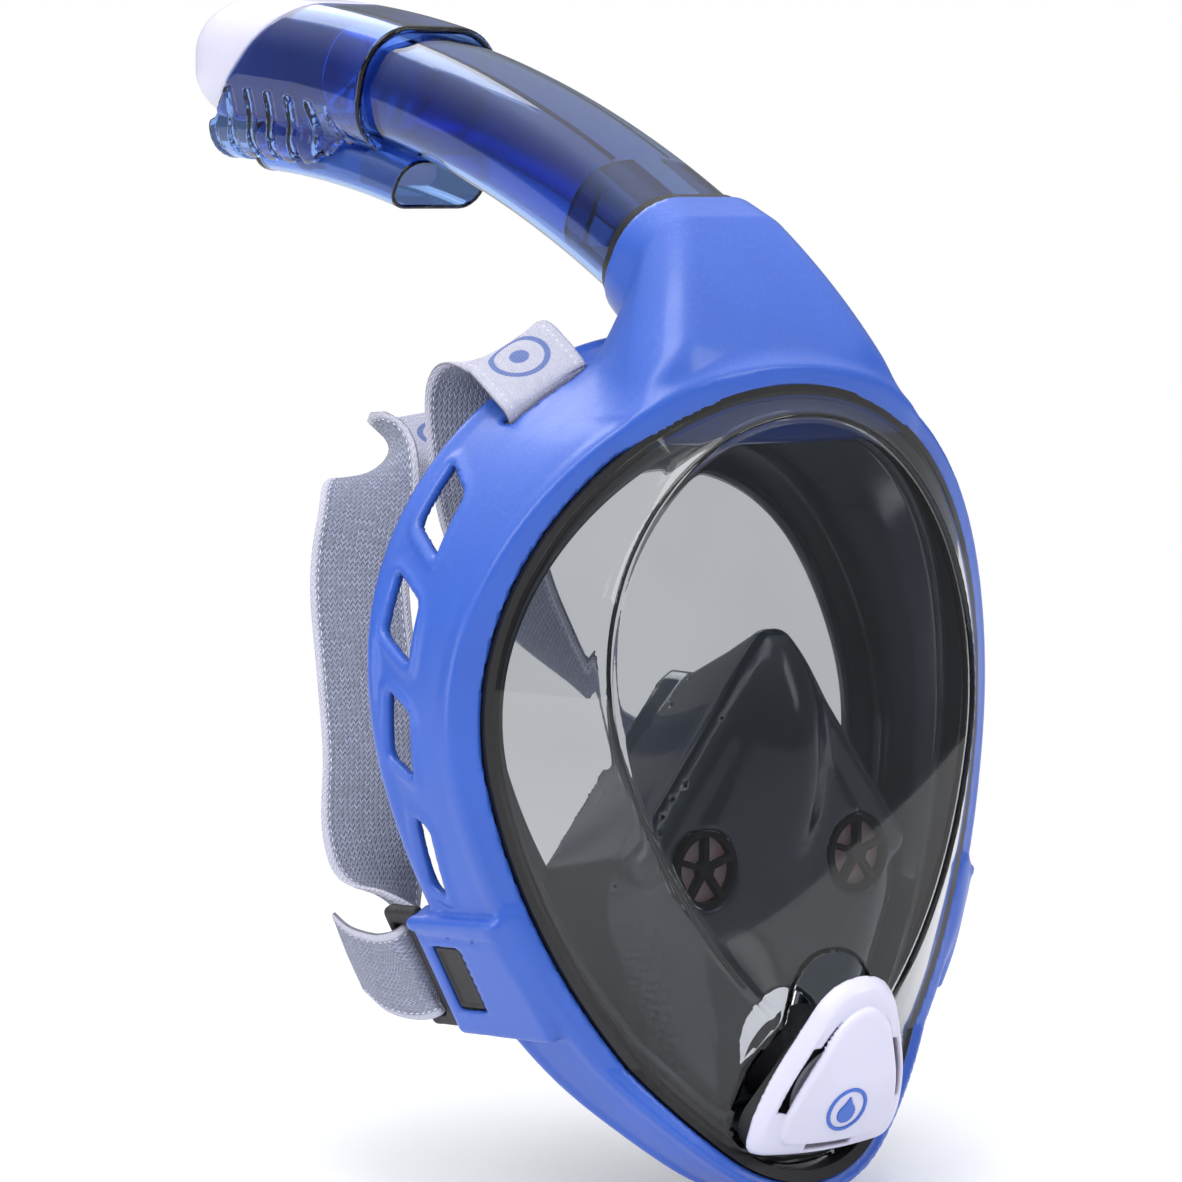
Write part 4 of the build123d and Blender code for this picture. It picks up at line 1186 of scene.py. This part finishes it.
@dataclass(frozen=True)
class PurgeCover:
    """The white chin cover: a crowned shield with three sunk vents and a plain drop mark."""

    cell: float = 0.62
    height: float = 8.8

    def field(self, u: Array, v: Array, w: Array) -> Array:
        """Signed distance in the valve's own frame."""
        outline = purge_outline(u, v)
        crown = self.height - 0.0032 * (u**2 + (v - 2) ** 2)
        outer = smooth_max(outline + 0.22 * w, w - crown, 6)
        outer = smooth_max(outer, -np.maximum(np.abs(outline + 4.4) - 1.3, 5.4 - w), 1.6)
        inner = smooth_max(outline + 2.2 + 0.22 * w, w - crown + 2.0, 5)
        body = np.maximum(smooth_max(outer, -inner, 0.4), -w)
        vents = np.maximum(np.abs(outline + 4.4) - 1.25, 3.0 - w)
        low = np.maximum(vents, np.maximum(np.abs(u) - 8.0, v))
        turn = np.abs(v - 3.0) - 9.5
        side = np.maximum(vents, np.maximum(turn, 8 - np.abs(u)))
        return smooth_max(body, -np.minimum(low, side), 0.5)

    def mark(self, u: Array, v: Array, w: Array) -> Array:
        """A ring with a water drop inside, lying on the crown."""
        v = v + 6.0
        radius = np.hypot(u, v)
        ring = np.abs(radius - 6.2) - 0.55
        drop = smooth_max(np.hypot(u, v + 1.2) - 3.0, -10 + 0 * u, 1)
        tip = np.maximum(np.maximum(np.abs(u) * 0.87 + (v - 4.2) * 0.5, -v - 0.2), -v)
        flat = np.minimum(ring, smooth_min(drop, tip, 0.6))
        crown = self.height - 0.0032 * (u**2 + (v - 8) ** 2)
        return np.maximum(flat, np.abs(w - crown + 0.35) - 0.75)

    def build(self) -> list[bpy.types.Object]:
        """Makes the cover and its mark."""
        low, high = (-30, -28, -1), (30, 40, 10)
        cover = moulded("chin_cover", self.field, low, high, self.cell, Finishes.WHITE, PURGE)
        mark = moulded("chin_cover_mark", self.mark, (-8, -15, 5), (8, 3, 11), 0.3, Finishes.EMBLEM, PURGE)
        settle_piece(cover, "mask", ["purge_cover"])
        return [cover, settle_piece(mark, "mask")]


def oval(width: float, height: float, corner: float, count: int = 72) -> Array:
    """Points round a rounded rectangle, evenly spaced by angle of travel."""
    hx, hy = width / 2 - corner, height / 2 - corner
    turn = np.linspace(0, 2 * np.pi, count, endpoint=False)
    power = np.stack([np.cos(turn), np.sin(turn)], 1)
    square = np.stack([np.sign(power[:, 0]), np.sign(power[:, 1])], 1)
    easing = np.clip(np.abs(power) * 1.6, 0, 1)
    return square * easing * np.array([hx, hy]) + corner * power


@dataclass(frozen=True)
class BentTube:
    """A bent oval tube: the snorkel's barrel.

    Attributes:
        start: where it begins along the snorkel.
        end: where it ends.
        width: outside width.
        height: outside height.
        corner: outside corner radius.
        wall: wall thickness.
    """

    start: float = 3.1
    end: float = 150.0
    width: float = 46.0
    height: float = 34.0
    corner: float = 15.5
    wall: float = 2.2

    def build(self) -> bpy.types.Object:
        """Makes the barrel."""
        body = np.linspace(self.start + 0.9, self.end - 0.9, 64)
        along = np.concatenate([[self.start, self.start + 0.25], body, [self.end - 0.25, self.end]])
        trims = np.concatenate([[0.9, 0.25], np.zeros(64), [0.25, 0.9]])
        outer, inner = [], []
        for s, trim in zip(along, trims):
            ring = oval(self.width - trim, self.height - trim, self.corner - trim / 2)
            bore = oval(self.width - 2 * self.wall, self.height - 2 * self.wall, self.corner - self.wall)
            outer.append(BEND.out(np.column_stack([ring, np.full(len(ring), s)])))
            inner.append(BEND.out(np.column_stack([bore, np.full(len(bore), s)])))
        obj = skin("snorkel_barrel", outer + inner[::-1], Finishes.TUBE_BLUE, closed=True)
        return settle_piece(obj, "snorkel", ["snorkel_tube"])


@dataclass(frozen=True)
class DryTop:
    """The snorkel's valve head: a grooved deep blue sleeve, its float chamber and its white cap."""

    start: float = 128.0
    joint_low: float = 213.0
    joint_high: float = 173.0
    end: float = 226.0

    def joint(self, d: Array, s: Array) -> Array:
        """Distance past the slanted joint between sleeve and cap, towards the cap."""
        lean = (self.joint_low - self.joint_high) / 39.0
        return (s - self.joint_low - lean * (d - 19.5)) / math.hypot(1, lean)

    def sleeve(self, x: Array, d: Array, s: Array) -> Array:
        """Signed distance of the sleeve, in bent coordinates."""
        outline = rounded_rect(x, d, 25.5, 19.5, 17.0)
        cheek = rounded_rect(x, d - 13, 22.5, 17.5, 10.0)
        rear = 1 / (1 + np.exp(-(s - 150) / 6))
        body = smooth_min(outline, cheek + 9 * (1 - rear), 4)
        hollow = smooth_min(outline + 2.2, cheek + 2.2 + 9 * (1 - rear), 4)
        flute = np.abs((s - 144 + 5.5) % 11 - 5.5) - 1.9
        flutes = np.maximum(np.maximum(flute, 8 - d), np.maximum(s - 211, 145 - s))
        shell = smooth_max(body, -hollow, 0.4)
        shell = smooth_max(shell, -np.maximum(flutes, -(body + 1.1)), 0.6)
        ends = np.maximum(self.start - s, np.maximum(self.joint(d, s), s - self.joint_low))
        shell = smooth_max(shell, ends, 0.9)
        room = np.maximum(rounded_rect(x, d - 28.5, 16.9, 12, 6), np.maximum(127 - s, s - 197))
        return smooth_max(shell, -room, 0.4)

    def chamber(self, x: Array, d: Array, s: Array) -> Array:
        """Signed distance of the float chamber, in bent coordinates."""
        outline = rounded_rect(x, d - 25.3, 16.5, 8.0, 6.8)
        body = smooth_max(outline, -(outline + 1.2), 0.3)
        body = smooth_min(body, np.maximum(outline, 194 - s), 0.6)
        lead = 112 + 0.35 * (d - 17)
        body = smooth_max(body, np.maximum(lead - s, s - 196), 0.9)
        vent = np.abs((s - 178 + 1.45) % 2.9 - 1.45) - 0.75
        vents = np.maximum(np.maximum(vent, 30 - d), np.maximum(np.abs(x) - 11, np.maximum(177 - s, s - 193)))
        port = np.maximum(np.maximum(d - 20, np.abs(x) - 10.5), np.maximum(178 - s, s - 190))
        return np.maximum(body, -np.minimum(vents, port))

    def cap(self, x: Array, d: Array, s: Array) -> Array:
        """Signed distance of the white cap, in bent coordinates."""
        ease = np.clip((s - 204) / (self.end - 204), 0, 1) ** 2
        half_x, half_y, shift = 25.5 - 4.5 * ease, 19.5 - 5.5 * ease, 1.5 * ease
        outline = rounded_rect(x / half_x * 25.5, (d - shift) / half_y * 19.5, 25.5, 19.5, 17.0) * 0.8
        outer = smooth_max(outline, s - self.end, 9)
        inner = smooth_max(outline + 2.1, s - self.end + 2.4, 7)
        return smooth_max(smooth_max(outer, -inner, 0.3), 0.1 - self.joint(d, s), 0.8)

    def build(self) -> None:
        """Makes the three mouldings."""
        deep, clear, white = Finishes.DEEP_BLUE, Finishes.TUBE_BLUE, Finishes.WHITE
        pieces = (
            ("head_sleeve", self.sleeve, (-27, -21, 126), (27, 32, 215), 1.0, deep, "dry_top_sleeve"),
            ("float_house", self.chamber, (-18, 15, 110), (18, 35, 198), 0.8, clear, "float_chamber"),
            ("head_cap", self.cap, (-27, -21, 170), (27, 22, 228), 1.0, white, "dry_top_cap"),
        )
        for name, shape, low, high, cell, finish, node in pieces:
            obj = moulded(name, shape, low, high, cell, finish, BEND)
            settle_piece(obj, "snorkel", [node])


@dataclass(frozen=True)
class Clip:
    """A black harness clip: a tongue in the lug's pocket, a buckle, and the latch in its window."""

    sign: int

    @property
    def side(self) -> str:
        """The wearer's side it is on."""
        return "left" if self.sign > 0 else "right"

    def clip(self, a: Array, b: Array, c: Array) -> Array:
        """Signed distance of tongue and buckle."""
        tongue = rounded_box(a - 8.0, b, c + 2.0, (12.9, 14.9, 0.8), 0.5)
        buckle = rounded_box(a - 25.8, b, c + 1.0, (6.4, 19, 2.2), 1.6)
        bar = capsule(a, b, c, (30.4, -17, -0.6), (30.4, 17, -0.6), 1.9, 1.9)
        slot = rounded_box(a - 26.8, b, c, (2.6, 14.8, 9), 1.2)
        return smooth_max(smooth_min(tongue, smooth_min(buckle, bar, 0.8), 0.6), -slot, 0.5)

    def latch(self, a: Array, b: Array, c: Array) -> Array:
        """Signed distance of the ribbed latch pad."""
        pad = rounded_box(a - 8.5, b, c - 2.0, (5.15, 9.9, 1.25), 0.7)
        dish = rounded_box(a - 8.5, b, c - 3.6, (3.9, 8.6, 0.8), 0.5)
        return smooth_max(pad, -dish, 0.3)

    def build(self) -> None:
        """Makes both mouldings."""
        place = lug_place(self.sign)
        black, side = Finishes.BLACK, self.side
        clip = moulded(f"clip_{side}", self.clip, (-7, -20, -5), (34, 20, 3), 0.75, black, place)
        latch = moulded(f"latch_{side}", self.latch, (2, -11, 0), (13, 11, 4), 0.45, black, place)
        settle_piece(clip, "mask", [f"strap_clip_{self.side}"])
        settle_piece(latch, f"latch_{self.side}", [f"clip_latch_{self.side}"])


Station = tuple[Sequence[float], Sequence[float]]


@dataclass(frozen=True)
class Strap:
    """One elastic strap, from an upper slot across the back of the head to the clip on the other side.

    Attributes:
        name: the piece's name.
        node: the CAD node it stands for.
        start: side of the slot it starts from.
        middle: its free stations: middle point and direction of its rear edge.
        grey: first and last station between which both faces are heather grey.
    """

    name: str
    node: str
    start: int
    middle: tuple[Station, ...]
    grey: tuple[int, int]
    width: float = 28.0
    thickness: float = 1.5
    columns: int = 28

    def stations(self) -> list[Station]:
        """All stations, through the slot and out of the buckle to the tail."""
        s = self.start
        across = (-0.875, s * -0.085, s * 0.478)
        slotted = ((46.6, -19.4, 103.3), (48.9, -19.0, 107.4), (48.5, -10.0, 113.5))
        points = [((s * x, y, z), across) for x, y, z in slotted]
        points += list(self.middle)
        e = -s
        lug = lug_place(e)
        outward, upward = np.array(lug.w), lug.v
        slot = lug.out(np.array([[26.84, 0, 0]]))[0]
        points += [(tuple(slot + outward * d), upward) for d in (-7.0, -3.0, 2.5)]
        for out, back, up in ((3.5, 8.0, -2.0), (4.5, 20.0, -1.0), (2.5, 32.0, 1.0)):
            points.append((tuple(slot + outward * out + np.array([0, back, up])), upward))
        return points

    def frames(self) -> tuple[Array, Array, Array]:
        """Smoothed middles, width directions and face normals along the strap."""
        stations = self.stations()
        middle = curve_through([m for m, _ in stations], 9)
        wide = curve_through([w for _, w in stations], 9)
        along = np.gradient(middle, axis=0)
        along /= np.linalg.norm(along, axis=1, keepdims=True)
        wide -= along * (wide * along).sum(1, keepdims=True)
        wide /= np.linalg.norm(wide, axis=1, keepdims=True)
        return middle, wide, np.cross(along, wide)

    def build(self) -> bpy.types.Object:
        """Makes the band with its thicker hems and its webbing coordinates."""
        middle, wide, normal = self.frames()
        v = np.linspace(-1, 1, self.columns)
        half = self.thickness / 2 * (0.82 + 0.3 * np.exp(-(((np.abs(v) - 0.9) / 0.07) ** 2)))
        half *= np.sqrt(np.clip((1.02 - np.abs(v)) / 0.04, 0, 1))
        cup = 0.5 * (v**2 - 0.4)
        flat = v * self.width / 2
        travel = np.concatenate([[0], np.cumsum(np.linalg.norm(np.diff(middle, axis=0), axis=1))]) * MM
        rows = []
        for m, w, n in zip(middle, wide, normal):
            top = m + np.outer(flat, w) + np.outer(cup + half, n)
            low = m + np.outer(flat, w) + np.outer(cup - half, n)
            rows.append(np.vstack([top, low[::-1]]))
        obj = skin(self.name, rows, Finishes.WEBBING)
        across = np.concatenate([(v + 1) * 0.014, 0.04 + (v[::-1] + 1) * 0.014])
        layer = obj.data.uv_layers.new(name="webbing")
        count = 2 * self.columns
        ids = np.zeros(len(obj.data.loops), int)
        obj.data.loops.foreach_get("vertex_index", ids)
        ids = np.minimum(ids, len(rows) * count - 1)
        uv = np.stack([travel[ids // count], across[ids % count]], 1)
        is_grey = (ids // count >= self.grey[0] * 9) & (ids // count <= self.grey[1] * 9)
        uv[is_grey & (uv[:, 1] < 0.03), 1] += 0.04
        layer.data.foreach_set("uv", uv.ravel())
        return settle_piece(obj, "mask", [self.node])


STRAP_A = Strap("strap_near_slot", "head_strap_a", -1, (
    ((-47.6, -1.2, 117.0), (-0.87, 0.10, -0.48)),
    ((-47.0, 7.0, 113.0), (-0.85, 0.35, -0.40)),
    ((-47.5, 13.0, 103.0), (-0.80, 0.55, -0.25)),
    ((-46.0, 13.0, 85.0), (-0.78, 0.62, -0.05)),
    ((-36.0, 20.0, 62.0), (-0.75, 0.60, 0.30)),
    ((-16.0, 30.0, 38.0), (-0.65, 0.60, 0.45)),
    ((12.0, 36.0, 12.0), (-0.45, 0.50, 0.70)),
    ((38.0, 34.0, -12.0), (-0.20, 0.40, 0.90)),
    ((60.0, 22.0, -32.0), (0.15, 0.20, 0.95)),
), (5, 13))
STRAP_B = Strap("strap_far_slot", "head_strap_b", 1, (
    ((46.0, 2.0, 117.5), (-0.87, -0.15, 0.45)),
    ((34.0, 22.0, 114.0), (-0.85, -0.40, 0.20)),
    ((12.0, 46.0, 103.0), (-0.78, -0.55, -0.10)),
    ((-12.0, 62.0, 93.0), (-0.70, -0.55, -0.35)),
    ((-33.0, 66.0, 86.0), (-0.68, -0.45, -0.50)),
    ((-49.0, 59.0, 79.0), (-0.80, 0.10, -0.50)),
    ((-56.0, 53.0, 68.0), (-0.82, 0.55, -0.10)),
    ((-61.0, 50.0, 50.0), (-0.79, 0.62, 0.0)),
    ((-64.0, 42.4, 25.0), (-0.79, 0.62, 0.0)),
    ((-67.0, 35.4, 3.0), (-0.79, 0.62, 0.0)),
    ((-71.0, 30.0, -18.0), (-0.80, 0.50, 0.20)),
    ((-73.0, 18.0, -36.0), (-0.65, 0.25, 0.70)),
), (8, 16))


@dataclass(frozen=True)
class Stitching:
    """Hem stitches laid along both edges of a strap by Geometry Nodes.

    Attributes:
        strap: the strap that is hemmed.
        pitch: spacing in metres.
        inset: how far in from the edge, in mm.
        radius: the thread's radius in metres.
    """

    strap: Strap
    pitch: float = 0.0026
    inset: float = 2.4
    radius: float = 0.00024

    def tree(self) -> bpy.types.NodeTree:
        """The node tree: stitches of one size along a curve, lying with it."""
        name = "stitches_along_path"
        if name in bpy.data.node_groups:
            return bpy.data.node_groups[name]
        tree = bpy.data.node_groups.new(name, "GeometryNodeTree")
        inputs = {"Path": "Geometry", "Pitch": "Float", "Length": "Float", "Radius": "Float", "Seed": "Int"}
        for socket, kind in inputs.items():
            tree.interface.new_socket(name=socket, in_out="INPUT", socket_type=f"NodeSocket{kind}")
        tree.interface.new_socket(name="Stitches", in_out="OUTPUT", socket_type="NodeSocketGeometry")
        graph = Graph(tree)
        source, sink = graph.add("NodeGroupInput"), graph.add("NodeGroupOutput")
        spaced = graph.add("GeometryNodeResampleCurve", {"Curve": source.outputs[0]})
        spaced.mode = "LENGTH"
        tree.links.new(source.outputs[1], spaced.inputs["Length"])
        bead = {"Segments": 6, "Rings": 4, "Radius": source.outputs[3]}
        thread = graph.add("GeometryNodeMeshUVSphere", bead)
        tangent = graph.add("GeometryNodeInputTangent").outputs[0]
        turn = graph.add("FunctionNodeAlignRotationToVector", {"Vector": tangent}, axis="Z")
        stretch = graph.math("DIVIDE", source.outputs[2], source.outputs[3])
        varied = graph.add("FunctionNodeRandomValue", data_type="FLOAT")
        varied.inputs[2].default_value, varied.inputs[3].default_value = 0.42, 0.55
        tree.links.new(source.outputs[4], varied.inputs["Seed"])
        reach = graph.math("MULTIPLY", stretch, varied.outputs[1])
        size = graph.add("ShaderNodeCombineXYZ", {0: 1.0, 1: 1.0, 2: reach})
        laid = {"Points": spaced, "Instance": thread, "Rotation": turn, "Scale": size}
        laid = {socket: node.outputs[0] for socket, node in laid.items()}
        placed = graph.add("GeometryNodeInstanceOnPoints", laid)
        real = graph.add("GeometryNodeRealizeInstances", {0: placed.outputs[0]})
        coated = graph.add("GeometryNodeSetMaterial", {0: real.outputs[0]})
        coated.inputs["Material"].default_value = Finishes.THREAD.material()
        tree.links.new(coated.outputs[0], sink.inputs[0])
        return tree

    def build(self) -> bpy.types.Object:
        """Makes the stitches on both faces as one plain mesh."""
        middle, wide, normal = self.strap.frames()
        curve = bpy.data.curves.new("hem_lines", "CURVE")
        curve.dimensions = "3D"
        for edge in (-1, 1):
            for face in (-1, 1):
                offset = edge * (self.strap.width / 2 - self.inset)
                line = (middle + wide * offset + normal * (0.5 * 0.28 + face * 0.62)) * MM
                spline = curve.splines.new("POLY")
                spline.points.add(len(line) - 1)
                spline.points.foreach_set("co", np.column_stack([line, np.ones(len(line))]).ravel())
        carrier = bpy.data.objects.new("hem_lines", curve)
        bpy.context.scene.collection.objects.link(carrier)
        modifier = carrier.modifiers.new("stitches", "NODES")
        modifier.node_group = self.tree()
        items = modifier.node_group.interface.items_tree
        sockets = {item.name: item.identifier for item in items if item.in_out == "INPUT"}
        values = {"Pitch": self.pitch, "Length": self.pitch * 0.62, "Radius": self.radius, "Seed": 7}
        for name, value in values.items():
            modifier[sockets[name]] = value
        bpy.context.view_layer.update()
        mesh = bpy.data.meshes.new_from_object(carrier.evaluated_get(bpy.context.evaluated_depsgraph_get()))
        bpy.data.objects.remove(carrier)
        mesh.shade_smooth()
        obj = bpy.data.objects.new(f"{self.strap.name}_stitches", mesh)
        bpy.context.scene.collection.objects.link(obj)
        return settle_piece(obj, "mask")


CARRIED = {
    Finishes.BLACK: (
        "rear_retaining_ring", "inlet_valve_seat_left", "inlet_valve_seat_right",
        "purge_seat", "socket_manifold",
    ),
    Finishes.RUBBER: ("visor_gasket", "connector_seal", "connector_orings"),
    Finishes.MILKY: (
        "inlet_valve_flap_left", "inlet_valve_flap_right", "purge_flap",
        "exhale_flap_left", "exhale_flap_right", "float_seal",
    ),
    Finishes.WHITE: ("mouth_seat", "float"),
    Finishes.WALL_BLUE: ("tube_channel_walls",),
    Finishes.SMOKE: ("tube_connector",),
}


def refinish() -> None:
    """Gives the CAD pieces that stay their finishes."""
    for finish, names in CARRIED.items():
        for name in names:
            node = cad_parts[name]
            for slot in node.material_slots:
                slot.material = finish.material()
            LOG.info("%s keeps its shape, finished as %s", name, finish.name)


@dataclass(frozen=True)
class Studio:
    """A pale floor, soft light and the camera."""

    eye: tuple[float, float, float] = (-0.797, -0.9985, 0.159)
    target: tuple[float, float, float] = (0.0, 0.022, 0.046)
    lens: float = 138.6

    def aim(self, obj: bpy.types.Object, target: Sequence[float]) -> None:
        """Turns an object's -Z towards a point."""
        obj.rotation_euler = (Vector(target) - obj.location).to_track_quat("-Z", "Y").to_euler()

    def light(self, name: str, place: Sequence[float], size: float, power: float) -> None:
        """Adds a soft square light aimed at the mask."""
        data = bpy.data.lights.new(name, "AREA")
        data.shape, data.size, data.energy = "SQUARE", size, power
        obj = bpy.data.objects.new(name, data)
        bpy.context.scene.collection.objects.link(obj)
        obj.location = place
        self.aim(obj, (0, 0, 0.05))

    def build(self, floor_z: float) -> None:
        """Makes the set.

        Args:
            floor_z: height of the floor.
        """
        scene = bpy.context.scene
        world = bpy.data.worlds.new("studio")
        scene.world = world
        world.use_nodes = True
        graph = Graph(world.node_tree)
        seen = graph.add("ShaderNodeLightPath").outputs["Is Camera Ray"]
        direction = graph.add("ShaderNodeTexCoord").outputs["Generated"]
        height = graph.add("ShaderNodeSeparateXYZ", {0: direction}).outputs[2]
        lift = graph.math("POWER", graph.remap(height, 0.15, 1.0, 0, 1), 1.6)
        sky = graph.blend(lift, (0.24, 0.245, 0.26, 1), (1.8, 1.82, 1.88, 1))
        back = world.node_tree.nodes["Background"]
        world.node_tree.links.new(graph.blend(seen, sky, (1.0, 1.0, 1.0, 1)), back.inputs[0])
        mesh = bpy.data.meshes.new("floor")
        corners = [(x, y, floor_z) for x, y in ((-6, -6), (6, -6), (6, 6), (-6, 6))]
        mesh.from_pydata(corners, [], [(0, 1, 2, 3)])
        floor = bpy.data.objects.new("floor", mesh)
        scene.collection.objects.link(floor)
        mesh.materials.append(Finishes.PAPER.material())
        self.light("key", (-1.3, -0.5, 1.0), 0.8, 7.5)
        self.light("fill", (0.9, -1.5, 0.9), 0.6, 4.5)
        self.light("rim", (0.3, 1.3, 1.3), 0.9, 7)
        self.light("side", (-1.4, 0.4, 0.1), 0.7, 3.5)
        self.light("top", (-0.35, -0.5, 1.2), 0.7, 6)
        data = bpy.data.cameras.new("camera")
        data.lens, data.sensor_width = self.lens, 36.0
        data.clip_start, data.clip_end = 0.02, 50
        camera = bpy.data.objects.new("camera", data)
        scene.collection.objects.link(camera)
        camera.location = self.eye
        self.aim(camera, self.target)
        scene.camera = camera
        scene.view_settings.view_transform = "Standard"


def main() -> None:
    """Builds every piece, dresses the CAD pieces that stay, and sets the studio."""
    logging.basicConfig(level=logging.INFO, format="%(name)s: %(message)s")
    FrameShell().build()
    Lens().build()
    Skirt().build()
    NosePocket().build()
    PurgeCover().build()
    BentTube().build()
    DryTop().build()
    for sign in (-1, 1):
        Clip(sign).build()
    for strap in (STRAP_A, STRAP_B):
        strap.build()
        Stitching(strap).build()
    refinish()
    Studio().build(CAD_BOUNDS[0][2] - 0.003)


if __name__ == "__main__":
    main()
